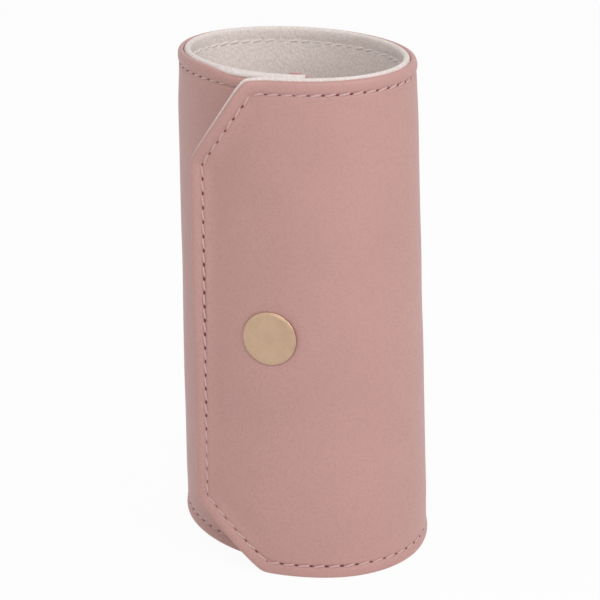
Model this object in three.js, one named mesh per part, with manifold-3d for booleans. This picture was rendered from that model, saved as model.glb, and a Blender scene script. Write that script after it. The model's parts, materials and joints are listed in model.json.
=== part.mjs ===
// Travel jewelry roll: a padded leather panel with a lining, rolled into an oval tube and closed by a flap with a
// magnetic snap. Millimetres and degrees. +Z is up, the roll stands on its lower rim, and -Y is its front.
// The panel is cut into stiff strips that bend against each other, so it unrolls. "Wind" is the winding angle of a
// place on the panel: 0 at the front of the inner turn, growing clockwise as seen from above, and past 360 on the flap.
import * as THREE from "three";
import { mergeVertices } from "three/addons/utils/BufferGeometryUtils.js";
import Module from "manifold-3d";

// ---- The rolled panel ----
const PANEL_HEIGHT = 175;
const OVAL_LONG_RADIUS = 49.4; // of the outer turn, at mid height
const OVAL_SHORT_RADIUS = 39.4;
const OVAL_TURN = -44.5; // direction of the oval's long radius, from +X
const FOOT_FLARE = 0.088; // how much wider the foot is than the top, as a share
const INNER_END_WIND = -6;
const FLAP_EDGE_WIND = 410;
const FOLD_WINDS = [40, 85, 130, 175, 220, 265, 310, 335, 354];
const STEP_IN_STARTS = 60; // between these two winds the panel climbs over its own inner end
const STEP_IN_ENDS = 340;
const LAYER_GAP = 1.2; // between the inner turn and the flap
const FLAP_LIFT_STARTS = 352;
const FLAP_LIFT_TOP = 3.5; // how far the flap's free edge stands off, at the top and at the foot
const FLAP_LIFT_FOOT = 3;
const FOOT_LIFT_STARTS = 285; // the front of the outer turn stands off at the foot
const FOOT_LIFT_ENDS = 345;
const FOOT_LIFT = 2.6;

// ---- The wall's layers, from outside to inside ----
const LEATHER_THICKNESS = 1.0;
const BOARD_THICKNESS = 0.9;
const LINING_THICKNESS = 1.7;
const FIT = 0.3; // clearance between pieces that touch
const TURNED_EDGE = 6; // width of the leather turned in round the board
const LINING_INSET = 0.4;
const SHELL_THICKNESS = LEATHER_THICKNESS + FIT + BOARD_THICKNESS;
const WALL_THICKNESS = SHELL_THICKNESS + FIT + LINING_THICKNESS;

// ---- The flap ----
const TOP_CUT = { down: 28.5, along: 21.5 }; // the flap's cut corners, along its edge and along the rims
const FOOT_CUT = { down: 23.5, along: 25 };

// ---- The magnetic snap ----
const SNAP_FROM_EDGE = 29;
const SNAP_CAP_RADIUS = 9.4;
const SNAP_CAP_RISE = 1.3;
const SNAP_CAP_SINK = 0.2;
const SNAP_PLATE_RADIUS = 6;
const SNAP_PLATE_THICKNESS = 1.1;
const SNAP_PLATE_PROUD = 0.2;
const SNAP_STEM_RADIUS = 2;

// ---- The ring bar ----
const BAR_FROM_END = 6.5; // from the panel's inner end to the bar's axis
const BAR_RADIUS = 6.5;
const BAR_CORE_RADIUS = 5;
const BAR_BOTTOM = 24;
const BAR_TOP = 150;
const RING_SPACE = 7; // between the bar and the lining
const TAB_WIDTH = 14.6;
const TAB_THICKNESS = 1.6;
const TAB_BELOW_RIM = 0.9;
const TAB_STAND_OFF = 6.5;
const TAB_SNAP_BELOW_RIM = 14;
const STRAP_WIDTH = 13;
const STRAP_THICKNESS = 1.6;
const STRAP_HEIGHT = 15; // where the strap leaves the lining
const ANCHOR_HEIGHT = 7;

// ---- The zipped pocket, in the middle of strip 4 ----
const POCKET_BOTTOM = 12;
const POCKET_TOP = 150;
const POCKET_SIDE_MARGIN = 2;
const POCKET_THICKNESS = 1.2;
const ZIP_BOTTOM = 24;
const ZIP_TOP = 140;
const ZIP_SLOT_WIDTH = 9;
const ZIP_TAPE_WIDTH = 3.4;
const ZIP_TAPE_THICKNESS = 0.5;
const ZIP_STAND_OFF = 0.7; // keeps flat pieces clear of the curved lining
const TOOTH_PITCH = 3;
const TOOTH_HEIGHT = 1.1;
const TOOTH_THICKNESS = 1.2;
const TOOTH_REACH = 0.5; // past the zip's middle line
const TOOTH_ROOT = 2.2;
const SLIDER_WIDTH = 8;
const SLIDER_LENGTH = 10;
const SLIDER_PLATE = 0.9;
const SLIDER_CENTRE = ZIP_TOP - 10;
const BRIDGE_WIDTH = 1.8;
const BRIDGE_HALF_LENGTH = 3.2;
const BRIDGE_POST = 1.4;
const BRIDGE_CLEAR = 2;
const BRIDGE_THICKNESS = 0.6;
const PULL_WIDTH = 5.6;
const PULL_LENGTH = 20;
const PULL_THICKNESS = 0.9;
const PULL_BAR = 1.2;
const PULL_HOLE_WIDTH = 2.8;
const PULL_HOLE_LENGTH = 3.8;

// ---- The necklace tabs, in the middle of strip 7 ----
const NECKLACE_TAB_HEIGHTS = [122, 74]; // where each tab hangs from its base
const NECKLACE_TAB_WIDTH = 10;
const NECKLACE_TAB_LENGTH = 20;
const NECKLACE_TAB_THICKNESS = 1.2;
const NECKLACE_STAND_OFF = 3.6;
const NECKLACE_BASE_HEIGHT = 6;
const NECKLACE_SNAP_DOWN = 14;

// ---- The press studs of the bar and the tabs ----
const STUD_CAP_RADIUS = 4.6;
const STUD_CAP_THICKNESS = 1.1;
const STUD_SOCKET_RADIUS = 3.8;
const STUD_SOCKET_THICKNESS = 0.6;
const STUD_STEM_RADIUS = 1.5;
const STUD_POST_RADIUS = 2.2;
const STUD_BASE_THICKNESS = 0.7;
const STUD_BASE_STAND_OFF = 0.6;

// ---- How finely curves are cut ----
const FACET_WIND = 5;
const ROUND_FACETS = 28;
const OVERRUN = 1; // how far a cutting tool runs past what it cuts

const wasm = await Module();
wasm.setup();

const radians = THREE.MathUtils.degToRad;
const lerp = THREE.MathUtils.lerp;
const smooth = THREE.MathUtils.smoothstep;

// ---- The shape of the roll ----

// A point on the outer surface at the lower rim (rise 0) or the upper rim (rise 1).
function rimPoint(wind, rise) {
  const polar = radians(-90 - wind - OVAL_TURN);
  const turn = Math.atan2(OVAL_LONG_RADIUS * Math.sin(polar), OVAL_SHORT_RADIUS * Math.cos(polar));
  const point = new THREE.Vector2(OVAL_LONG_RADIUS * Math.cos(turn), OVAL_SHORT_RADIUS * Math.sin(turn));
  const outward = new THREE.Vector2(OVAL_SHORT_RADIUS * Math.cos(turn), OVAL_LONG_RADIUS * Math.sin(turn));
  outward.normalize();
  const climb = smooth(wind, STEP_IN_STARTS, STEP_IN_ENDS);
  const onFlap = THREE.MathUtils.clamp((wind - FLAP_LIFT_STARTS) / (FLAP_EDGE_WIND - FLAP_LIFT_STARTS), 0, 1.1);
  const flapLift = onFlap ** 2 * lerp(FLAP_LIFT_FOOT, FLAP_LIFT_TOP, rise);
  const footLift = FOOT_LIFT * smooth(wind, FOOT_LIFT_STARTS, FOOT_LIFT_ENDS) * (1 - rise);
  const offset = -(WALL_THICKNESS + LAYER_GAP) * (1 - climb) + flapLift + footLift;
  point.addScaledVector(outward, offset);
  point.multiplyScalar(1 + FOOT_FLARE * (0.5 - rise));
  point.rotateAround(new THREE.Vector2(), radians(OVAL_TURN));
  return new THREE.Vector3(point.x, point.y, PANEL_HEIGHT * rise);
}

function outerPoint(wind, z) {
  return rimPoint(wind, 0).lerp(rimPoint(wind, 1), z / PANEL_HEIGHT);
}

// The horizontal direction out of the wall, square to the panel.
function outwardAt(wind, z) {
  const along = outerPoint(wind + 0.5, z).sub(outerPoint(wind - 0.5, z));
  along.z = 0;
  return new THREE.Vector3(0, 0, 1).cross(along.normalize());
}

function wallPoint(wind, z, depth) {
  return outerPoint(wind, z).addScaledVector(outwardAt(wind, z), -depth);
}

// Distances along the outer surface at mid height, from the inner end.
const arcTable = [0];
for (let wind = INNER_END_WIND; wind < FLAP_EDGE_WIND; wind += 1) {
  const here = outerPoint(wind, PANEL_HEIGHT / 2);
  const next = outerPoint(wind + 1, PANEL_HEIGHT / 2);
  arcTable.push(arcTable.at(-1) + here.distanceTo(next));
}
const PANEL_LENGTH = arcTable.at(-1);

function arcAt(wind) {
  const place = THREE.MathUtils.clamp(wind - INNER_END_WIND, 0, arcTable.length - 1);
  const before = Math.min(Math.floor(place), arcTable.length - 2);
  return lerp(arcTable[before], arcTable[before + 1], place - before);
}

function windAt(arc) {
  const after = arcTable.findIndex((value) => value >= arc);
  const last = after < 1 ? Math.max(after, 1) : after;
  const share = (arc - arcTable[last - 1]) / (arcTable[last] - arcTable[last - 1]);
  return INNER_END_WIND + last - 1 + share;
}

// How far below the rim (or above the foot) an outline lies that is drawn this far inside the edge, where the
// corner is cut off by this much along the rim.
function edgeLoss(wind, inset, cut) {
  const toEdge = PANEL_LENGTH - arcAt(wind);
  const slant = Math.hypot(1, cut.down / cut.along);
  return Math.max(inset, cut.down * (1 - toEdge / cut.along) + inset * slant);
}

// The wind at which a cut corner's slanted edge starts, for an outline this far inside the edge.
function cornerWind(inset, cut) {
  const slant = Math.hypot(1, cut.down / cut.along);
  const toEdge = cut.along * (1 + (inset * (slant - 1)) / cut.down);
  return windAt(PANEL_LENGTH - toEdge);
}

// ---- Making geometry ----

function solidOf(geometry) {
  const bare = geometry.index ? geometry.toNonIndexed() : geometry.clone();
  bare.deleteAttribute("normal");
  bare.deleteAttribute("uv");
  const merged = mergeVertices(bare, 1e-4);
  return new wasm.Manifold(
    new wasm.Mesh({
      numProp: 3,
      vertProperties: merged.attributes.position.array,
      triVerts: new Uint32Array(merged.index.array),
    }),
  );
}

function geometryOf(solid) {
  const mesh = solid.getMesh();
  const geometry = new THREE.BufferGeometry();
  geometry.setAttribute("position", new THREE.BufferAttribute(new Float32Array(mesh.vertProperties), 3));
  geometry.setIndex(new THREE.BufferAttribute(new Uint32Array(mesh.triVerts), 1));
  geometry.computeVertexNormals();
  return geometry;
}

function cut(geometry, tools) {
  return geometryOf(tools.reduce((solid, tool) => solid.subtract(solidOf(tool)), solidOf(geometry)));
}

function joined(geometries) {
  return geometryOf(geometries.map(solidOf).reduce((whole, piece) => whole.add(piece)));
}

// Winds from one to another, at most FACET_WIND apart, that also stop at the corners between them.
function windStops(from, to, corners) {
  const ends = [from, ...corners.filter((corner) => corner > from && corner < to), to];
  const stops = [from];
  for (let i = 1; i < ends.length; i += 1) {
    const steps = Math.ceil((ends[i] - ends[i - 1]) / FACET_WIND);
    for (let step = 1; step <= steps; step += 1) stops.push(lerp(ends[i - 1], ends[i], step / steps));
  }
  return stops;
}

// A sheet that follows the wall between two depths. bottom and top give its height at each wind.
function sheet(stops, near, far, bottom, top) {
  const columns = stops.length - 1;
  const geometry = new THREE.BoxGeometry(1, 1, 1, columns, 1, 1);
  const position = geometry.attributes.position;
  for (let i = 0; i < position.count; i += 1) {
    const wind = stops[Math.round((position.getX(i) + 0.5) * columns)];
    const z = position.getZ(i) < 0 ? bottom(wind) : top(wind);
    const depth = position.getY(i) > 0 ? near : far;
    position.setXYZ(i, ...wallPoint(wind, z, depth).toArray());
  }
  return geometry;
}

// A box given by its lowest and highest corners.
function block(low, high) {
  const size = new THREE.Vector3(...high).sub(new THREE.Vector3(...low));
  const middle = new THREE.Vector3(...high).add(new THREE.Vector3(...low)).multiplyScalar(0.5);
  return new THREE.BoxGeometry(...size.toArray()).translate(...middle.toArray());
}

// A round piece about Y from a profile of [radius, y] points that runs upwards.
function turned(profile) {
  return new THREE.LatheGeometry(profile.map(([radius, y]) => new THREE.Vector2(radius, y)), ROUND_FACETS);
}

function rod(radius, bottom, top) {
  return turned([[0, bottom], [radius, bottom], [radius, top], [0, top]]);
}

// A flat strip in the XZ plane, thick along Y, that ends in a half circle above (end 1) or below (end -1).
function roundedStrip(width, straightEnd, tip, nearY, farY, end) {
  const radius = width / 2;
  const outline = new THREE.Shape();
  outline.moveTo(-radius, straightEnd);
  if (end > 0) {
    outline.lineTo(radius, straightEnd);
    outline.lineTo(radius, tip - radius);
    outline.absarc(0, tip - radius, radius, 0, Math.PI, false);
  } else {
    outline.lineTo(-radius, tip + radius);
    outline.absarc(0, tip + radius, radius, Math.PI, 2 * Math.PI, false);
    outline.lineTo(radius, straightEnd);
  }
  const geometry = new THREE.ExtrudeGeometry(outline, {
    depth: farY - nearY,
    bevelEnabled: false,
    curveSegments: 12,
  });
  return geometry.rotateX(Math.PI / 2).translate(0, farY, 0);
}

// ---- Placing pieces ----

const roll = new THREE.Group();

const FINISHES = {
  leather: { color: 0xc39b95, roughness: 0.5, metalness: 0 },
  board: { color: 0x9c8f84, roughness: 0.9, metalness: 0 },
  lining: { color: 0xdccfc8, roughness: 0.95, metalness: 0 },
  gold: { color: 0xc9a27c, roughness: 0.3, metalness: 1 },
  foam: { color: 0xe6e0d8, roughness: 1, metalness: 0 },
  tape: { color: 0xcfbfb6, roughness: 0.9, metalness: 0 },
};

function add(name, geometry, finish, parent = roll) {
  const mesh = new THREE.Mesh(geometry, new THREE.MeshStandardMaterial(FINISHES[finish]));
  mesh.name = name;
  parent.add(mesh);
  return mesh;
}

// The local frame of a place on the wall: X runs along the panel, Y out of the wall and Z up the panel, from the foot.
function frameAt(wind) {
  const foot = outerPoint(wind, 0);
  const up = outerPoint(wind, PANEL_HEIGHT).sub(foot).normalize();
  const outward = outwardAt(wind, PANEL_HEIGHT / 2);
  const along = outward.clone().cross(up).normalize();
  outward.crossVectors(up, along);
  return new THREE.Matrix4().makeBasis(along, outward, up).setPosition(foot);
}

function placeAt(wind) {
  const place = new THREE.Group();
  place.applyMatrix4(frameAt(wind));
  roll.add(place);
  return place;
}

// ---- The strips of the wall ----

const edgeWinds = [INNER_END_WIND, ...FOLD_WINDS, FLAP_EDGE_WIND];
const stripNames = edgeWinds.slice(1).map((_, i) => (i === FOLD_WINDS.length ? "flap" : String(i + 1)));

// The span of a strip: half a clearance short of each fold, and inset from the panel's free ends.
function stripSpan(i, inset, short) {
  const isFirst = i === 0;
  const isLast = i === edgeWinds.length - 2;
  const from = windAt(arcAt(edgeWinds[i]) + (isFirst ? inset : short));
  const to = windAt(arcAt(edgeWinds[i + 1]) - (isLast ? inset : short));
  return [from, to];
}

function strip(i, near, far, inset, short) {
  const [from, to] = stripSpan(i, inset, short);
  const corners = [FOOT_CUT, TOP_CUT].map((cut) => cornerWind(inset, cut));
  const stops = windStops(from, to, corners);
  const bottom = (wind) => edgeLoss(wind, inset, FOOT_CUT);
  const top = (wind) => PANEL_HEIGHT - edgeLoss(wind, inset, TOP_CUT);
  return sheet(stops, near, far, bottom, top);
}

const snapWind = windAt(PANEL_LENGTH - SNAP_FROM_EDGE);
const studWind = snapWind - 360;
const snapHeight = PANEL_HEIGHT / 2;

// A round hole square to the wall at the snap, between two depths.
function snapHole(wind, radius, near, far) {
  return rod(radius, -far, -near).translate(0, 0, snapHeight).applyMatrix4(frameAt(wind));
}

const stemHoleRadius = SNAP_STEM_RADIUS + FIT;
const plateSeatDepth = WALL_THICKNESS + SNAP_PLATE_PROUD - SNAP_PLATE_THICKNESS - FIT;

function snapCuts(wind, seatRadius) {
  const throughWall = snapHole(wind, stemHoleRadius, -OVERRUN, WALL_THICKNESS + OVERRUN);
  const seat = snapHole(wind, seatRadius + FIT, -2 * OVERRUN, SNAP_CAP_SINK + FIT);
  const innerSeat = snapHole(wind, SNAP_PLATE_RADIUS + FIT, plateSeatDepth, WALL_THICKNESS + 2 * OVERRUN);
  return { leather: [throughWall, seat], board: [throughWall], lining: [throughWall, innerSeat] };
}

const cutsOfStrip = {
  1: snapCuts(studWind, SNAP_PLATE_RADIUS),
  flap: snapCuts(snapWind, SNAP_CAP_RADIUS),
};
const noCuts = { leather: [], board: [], lining: [] };

stripNames.forEach((stripName, i) => {
  const cuts = cutsOfStrip[stripName] ?? noCuts;
  const boardRoom = strip(i, LEATHER_THICKNESS, SHELL_THICKNESS + OVERRUN, TURNED_EDGE - FIT, -FIT);
  const leather = strip(i, 0, SHELL_THICKNESS, 0, FIT / 2);
  const board = strip(i, LEATHER_THICKNESS + FIT, SHELL_THICKNESS, TURNED_EDGE, FIT / 2);
  const lining = strip(i, SHELL_THICKNESS + FIT, WALL_THICKNESS, LINING_INSET, FIT / 2);
  add(`leather_${stripName}`, cut(leather, [boardRoom, ...cuts.leather]), "leather");
  add(`board_${stripName}`, cut(board, cuts.board), "board");
  add(`lining_${stripName}`, cut(lining, cuts.lining), "lining");
});

// ---- The magnetic snap ----

// A plate on the inner side with a bore for the stem.
function snapBackPlate() {
  const front = -(WALL_THICKNESS + SNAP_PLATE_PROUD);
  const plate = rod(SNAP_PLATE_RADIUS, front, front + SNAP_PLATE_THICKNESS);
  return cut(plate, [rod(stemHoleRadius, front - OVERRUN, front + SNAP_PLATE_THICKNESS + OVERRUN)]);
}

const atSnap = placeAt(snapWind);
const capProfile = [
  [0, -WALL_THICKNESS],
  [SNAP_STEM_RADIUS, -WALL_THICKNESS],
  [SNAP_STEM_RADIUS, -SNAP_CAP_SINK],
  [SNAP_CAP_RADIUS - 0.4, -SNAP_CAP_SINK],
  [SNAP_CAP_RADIUS, 0.15],
  [SNAP_CAP_RADIUS, 0.45],
  [SNAP_CAP_RADIUS - 0.6, 0.85],
  [SNAP_CAP_RADIUS * 0.75, 1.1],
  [SNAP_CAP_RADIUS * 0.4, 1.25],
  [0, SNAP_CAP_RISE],
];
add("snap_cap", turned(capProfile).translate(0, 0, snapHeight), "gold", atSnap);
add("snap_socket", snapBackPlate().translate(0, 0, snapHeight), "gold", atSnap);

const atStud = placeAt(studWind);
const studProfile = [
  [0, -WALL_THICKNESS],
  [SNAP_STEM_RADIUS, -WALL_THICKNESS],
  [SNAP_STEM_RADIUS, -SNAP_CAP_SINK],
  [SNAP_PLATE_RADIUS, -SNAP_CAP_SINK],
  [SNAP_PLATE_RADIUS, SNAP_PLATE_PROUD / 2],
  [SNAP_PLATE_RADIUS - 0.3, SNAP_PLATE_PROUD],
  [0, SNAP_PLATE_PROUD],
];
add("snap_stud", turned(studProfile).translate(0, 0, snapHeight), "gold", atStud);
add("snap_stud_washer", snapBackPlate().translate(0, 0, snapHeight), "gold", atStud);

// ---- Press studs of the bar and the tabs ----

// The cap and socket riveted through a strap whose wall side lies at this depth, about a point at this height.
function strapStud(depth, thickness, height) {
  const socketFront = -depth + FIT;
  const capBack = -(depth + thickness + FIT);
  const profile = [
    [0, capBack - STUD_CAP_THICKNESS],
    [STUD_CAP_RADIUS - 0.8, capBack - STUD_CAP_THICKNESS + 0.1],
    [STUD_CAP_RADIUS, capBack - STUD_CAP_THICKNESS / 2],
    [STUD_CAP_RADIUS, capBack],
    [STUD_STEM_RADIUS, capBack],
    [STUD_STEM_RADIUS, socketFront],
    [STUD_SOCKET_RADIUS, socketFront],
    [STUD_SOCKET_RADIUS, socketFront + STUD_SOCKET_THICKNESS],
    [0, socketFront + STUD_SOCKET_THICKNESS],
  ];
  return turned(profile).translate(0, 0, height);
}

// The post on the lining that the socket rests on.
function liningPost(depth, height) {
  const back = -(WALL_THICKNESS + STUD_BASE_STAND_OFF);
  const tip = -(depth - 2 * FIT - STUD_SOCKET_THICKNESS);
  const profile = [
    [0, tip],
    [STUD_POST_RADIUS, tip],
    [STUD_POST_RADIUS, back - STUD_BASE_THICKNESS],
    [STUD_SOCKET_RADIUS, back - STUD_BASE_THICKNESS],
    [STUD_SOCKET_RADIUS, back],
    [0, back],
  ];
  return turned(profile).translate(0, 0, height);
}

function studHole(depth, thickness, height) {
  return rod(STUD_STEM_RADIUS + FIT, -(depth + thickness + OVERRUN), -depth + OVERRUN).translate(0, 0, height);
}

// ---- The ring bar, on strip 1 ----

const barWind = windAt(BAR_FROM_END);
const atBar = placeAt(barWind);
const barDepth = WALL_THICKNESS + RING_SPACE + BAR_RADIUS;
const tabDepth = WALL_THICKNESS + TAB_STAND_OFF;
const tabSnapHeight = PANEL_HEIGHT - TAB_SNAP_BELOW_RIM;

function barTube(radius, bottom, top) {
  return rod(radius, bottom, top).rotateX(Math.PI / 2).translate(0, -barDepth, 0);
}

const barBore = barTube(BAR_CORE_RADIUS + FIT, BAR_BOTTOM - OVERRUN, BAR_TOP + OVERRUN);
add("ring_bar_cover", cut(barTube(BAR_RADIUS, BAR_BOTTOM, BAR_TOP), [barBore]), "lining", atBar);
add("ring_bar_core", barTube(BAR_CORE_RADIUS, BAR_BOTTOM, BAR_TOP), "foam", atBar);

const tabStrip = roundedStrip(
  TAB_WIDTH,
  BAR_TOP + FIT,
  PANEL_HEIGHT - TAB_BELOW_RIM,
  -(tabDepth + TAB_THICKNESS),
  -tabDepth,
  1,
);
add("ring_bar_tab", cut(tabStrip, [studHole(tabDepth, TAB_THICKNESS, tabSnapHeight)]), "leather", atBar);
add("bar_snap_cap", strapStud(tabDepth, TAB_THICKNESS, tabSnapHeight), "gold", atBar);
add("bar_snap_post", liningPost(tabDepth, tabSnapHeight), "gold", atBar);

// The strap leaves the lining at the hinge, runs inwards under the bar and turns up into its end.
const strapDepth = WALL_THICKNESS + 2 * FIT;
const strapLeg = block(
  [-STRAP_WIDTH / 2, -(barDepth + STRAP_THICKNESS / 2), STRAP_HEIGHT],
  [STRAP_WIDTH / 2, -(strapDepth + 1), STRAP_HEIGHT + STRAP_THICKNESS],
);
const strapRise = block(
  [-STRAP_WIDTH / 2, -(barDepth + STRAP_THICKNESS / 2), STRAP_HEIGHT],
  [STRAP_WIDTH / 2, -(barDepth - STRAP_THICKNESS / 2), BAR_BOTTOM - FIT],
);
add("ring_bar_strap", joined([strapLeg, strapRise]), "leather", atBar);

const halfStrapWinds = [-1, 1].map((side) => windAt(BAR_FROM_END + (side * STRAP_WIDTH) / 2 + 0.5));
const anchor = sheet(
  windStops(...halfStrapWinds, []),
  WALL_THICKNESS + FIT,
  WALL_THICKNESS + FIT + STRAP_THICKNESS,
  () => ANCHOR_HEIGHT,
  () => STRAP_HEIGHT - FIT,
);
add("ring_bar_anchor", anchor, "leather");

// ---- The zipped pocket, on strip 4 ----

const zipWind = (FOLD_WINDS[2] + FOLD_WINDS[3]) / 2;
const atZip = placeAt(zipWind);
const zipSlot = block(
  [-ZIP_SLOT_WIDTH / 2, -(WALL_THICKNESS + 3 * POCKET_THICKNESS), ZIP_BOTTOM],
  [ZIP_SLOT_WIDTH / 2, -WALL_THICKNESS / 2, ZIP_TOP],
).applyMatrix4(frameAt(zipWind));
const pocketWinds = [
  windAt(arcAt(FOLD_WINDS[2]) + POCKET_SIDE_MARGIN),
  windAt(arcAt(FOLD_WINDS[3]) - POCKET_SIDE_MARGIN),
];
const pocketSheet = sheet(
  windStops(...pocketWinds, [zipWind]),
  WALL_THICKNESS + FIT,
  WALL_THICKNESS + FIT + POCKET_THICKNESS,
  () => POCKET_BOTTOM,
  () => POCKET_TOP,
);
add("pocket_panel", cut(pocketSheet, [zipSlot]), "lining");

const tapeDepth = WALL_THICKNESS + ZIP_STAND_OFF;
const toothDepth = tapeDepth + ZIP_TAPE_THICKNESS + FIT;
const plateDepth = toothDepth + TOOTH_THICKNESS + FIT;
const tapeInner = ZIP_SLOT_WIDTH / 2 - FIT - ZIP_TAPE_WIDTH;

for (const [side, word] of [[-1, "left"], [1, "right"]]) {
  const sides = (a, b) => [Math.min(side * a, side * b), Math.max(side * a, side * b)];
  const [tapeLow, tapeHigh] = sides(tapeInner, tapeInner + ZIP_TAPE_WIDTH);
  const tape = block(
    [tapeLow, -(tapeDepth + ZIP_TAPE_THICKNESS), ZIP_BOTTOM + FIT],
    [tapeHigh, -tapeDepth, ZIP_TOP - FIT],
  );
  add(`zip_tape_${word}`, tape, "tape", atZip);
  const first = ZIP_BOTTOM + TOOTH_PITCH + (side > 0 ? TOOTH_PITCH / 2 : 0);
  const last = ZIP_TOP - 2 * TOOTH_PITCH;
  const [spineLow, spineHigh] = sides(TOOTH_ROOT - 0.8, TOOTH_ROOT);
  const pieces = [
    block(
      [spineLow, -(toothDepth + TOOTH_THICKNESS), first],
      [spineHigh, -toothDepth, last + TOOTH_PITCH / 2],
    ),
  ];
  const [toothLow, toothHigh] = sides(-TOOTH_REACH, TOOTH_ROOT - 0.4);
  for (let z = first; z < last; z += TOOTH_PITCH) {
    pieces.push(
      block([toothLow, -(toothDepth + TOOTH_THICKNESS), z], [toothHigh, -toothDepth, z + TOOTH_HEIGHT]),
    );
  }
  add(`zip_teeth_${word}`, joined(pieces), "gold", atZip);
}

for (const [word, z] of [["bottom", ZIP_BOTTOM + FIT], ["top", ZIP_TOP - FIT - TOOTH_HEIGHT]]) {
  const stop = block(
    [-TOOTH_ROOT, -(toothDepth + TOOTH_THICKNESS), z],
    [TOOTH_ROOT, -toothDepth, z + TOOTH_HEIGHT],
  );
  add(`zip_stop_${word}`, stop, "gold", atZip);
}

const sliderLow = SLIDER_CENTRE - SLIDER_LENGTH / 2;
const sliderHigh = SLIDER_CENTRE + SLIDER_LENGTH / 2;
const plateTop = plateDepth + SLIDER_PLATE;
const flangeIn = TOOTH_ROOT + FIT;
const pieces = [
  block([-SLIDER_WIDTH / 2, -plateTop, sliderLow], [SLIDER_WIDTH / 2, -plateDepth, sliderHigh]),
  block([-SLIDER_WIDTH / 2, -plateTop, sliderLow], [-flangeIn, -toothDepth, sliderHigh]),
  block([flangeIn, -plateTop, sliderLow], [SLIDER_WIDTH / 2, -toothDepth, sliderHigh]),
  block(
    [-BRIDGE_WIDTH / 2, -(plateTop + BRIDGE_CLEAR + BRIDGE_THICKNESS), SLIDER_CENTRE - BRIDGE_HALF_LENGTH],
    [BRIDGE_WIDTH / 2, -(plateTop + BRIDGE_CLEAR), SLIDER_CENTRE + BRIDGE_HALF_LENGTH],
  ),
];
for (const end of [-1, 1]) {
  const outer = SLIDER_CENTRE + end * BRIDGE_HALF_LENGTH;
  const inner = outer - end * BRIDGE_POST;
  pieces.push(
    block(
      [-BRIDGE_WIDTH / 2, -(plateTop + BRIDGE_CLEAR + BRIDGE_THICKNESS / 2), Math.min(outer, inner)],
      [BRIDGE_WIDTH / 2, -(plateTop - SLIDER_PLATE / 2), Math.max(outer, inner)],
    ),
  );
}
add("zip_slider", joined(pieces), "gold", atZip);

const pullDepth = plateTop + BRIDGE_CLEAR / 2;
const pullTop = SLIDER_CENTRE + PULL_BAR / 2;
const pullPlate = roundedStrip(
  PULL_WIDTH,
  pullTop,
  pullTop - PULL_LENGTH,
  -(pullDepth + PULL_THICKNESS / 2),
  -(pullDepth - PULL_THICKNESS / 2),
  -1,
);
const pullHole = block(
  [-PULL_HOLE_WIDTH / 2, -(pullDepth + PULL_THICKNESS), pullTop - PULL_BAR - PULL_HOLE_LENGTH],
  [PULL_HOLE_WIDTH / 2, -(pullDepth - PULL_THICKNESS), pullTop - PULL_BAR],
);
add("zip_pull", cut(pullPlate, [pullHole]), "gold", atZip);

// ---- The necklace tabs, on strip 7 ----

const necklaceWind = (FOLD_WINDS[5] + FOLD_WINDS[6]) / 2;
const atNecklaces = placeAt(necklaceWind);
const necklaceDepth = WALL_THICKNESS + NECKLACE_STAND_OFF;
NECKLACE_TAB_HEIGHTS.forEach((height, i) => {
  const number = i + 1;
  const snapAt = height - NECKLACE_SNAP_DOWN;
  const base = block(
    [-NECKLACE_TAB_WIDTH / 2, -(necklaceDepth + NECKLACE_TAB_THICKNESS), height],
    [NECKLACE_TAB_WIDTH / 2, -(WALL_THICKNESS + ZIP_STAND_OFF), height + NECKLACE_BASE_HEIGHT],
  );
  const tab = roundedStrip(
    NECKLACE_TAB_WIDTH,
    height - FIT,
    height - NECKLACE_TAB_LENGTH,
    -(necklaceDepth + NECKLACE_TAB_THICKNESS),
    -necklaceDepth,
    -1,
  );
  add(`necklace_base_${number}`, base, "leather", atNecklaces);
  const tabHole = studHole(necklaceDepth, NECKLACE_TAB_THICKNESS, snapAt);
  add(`necklace_tab_${number}`, cut(tab, [tabHole]), "leather", atNecklaces);
  add(`necklace_snap_cap_${number}`, strapStud(necklaceDepth, NECKLACE_TAB_THICKNESS, snapAt), "gold", atNecklaces);
  add(`necklace_snap_post_${number}`, liningPost(necklaceDepth, snapAt), "gold", atNecklaces);
});

// ---- The frame: the middle of the outline, on the surface that the roll stands on ----

roll.updateMatrixWorld(true);
const bounds = new THREE.Box3().setFromObject(roll, true);
const middle = bounds.getCenter(new THREE.Vector3());
roll.position.set(-middle.x, -middle.y, -bounds.min.z);
roll.updateMatrixWorld(true);

// ---- Where the pieces turn and slide, in the part's frame ----

function axisAt(wind, x, depth, z, direction) {
  const frame = frameAt(wind).premultiply(roll.matrixWorld);
  const point = new THREE.Vector3(x, -depth, z).applyMatrix4(frame);
  return { point: point.toArray(), axis: direction.clone().transformDirection(frame).toArray() };
}

// The angle between the middles of the strips on each side of a fold: what flattens it.
function flatAngle(i) {
  const middles = [i, i + 1].map((strip) => (edgeWinds[strip] + edgeWinds[strip + 1]) / 2);
  const [before, after] = middles.map((wind) => outwardAt(wind, PANEL_HEIGHT / 2));
  return THREE.MathUtils.radToDeg(before.angleTo(after));
}

const UP = new THREE.Vector3(0, 0, 1);
const ALONG = new THREE.Vector3(1, 0, 0);
roll.userData.axes = {
  folds: FOLD_WINDS.map((wind, i) => ({ ...axisAt(wind, 0, 0, 0, UP), flat: flatAngle(i) })),
  ringBar: axisAt(barWind, 0, strapDepth + 1, STRAP_HEIGHT, ALONG),
  zipSlide: { ...axisAt(zipWind, 0, plateDepth, SLIDER_CENTRE, UP), travel: SLIDER_CENTRE - ZIP_BOTTOM },
  zipPull: axisAt(zipWind, 0, pullDepth, SLIDER_CENTRE, ALONG),
  necklaceTabs: NECKLACE_TAB_HEIGHTS.map((height) =>
    axisAt(necklaceWind, 0, necklaceDepth + NECKLACE_TAB_THICKNESS, height, ALONG),
  ),
  panelLength: PANEL_LENGTH,
};

export default roll;
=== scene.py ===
"""A travel jewelry roll: padded leather lined with velvet, rolled into an oval tube and snapped shut."""

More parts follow.
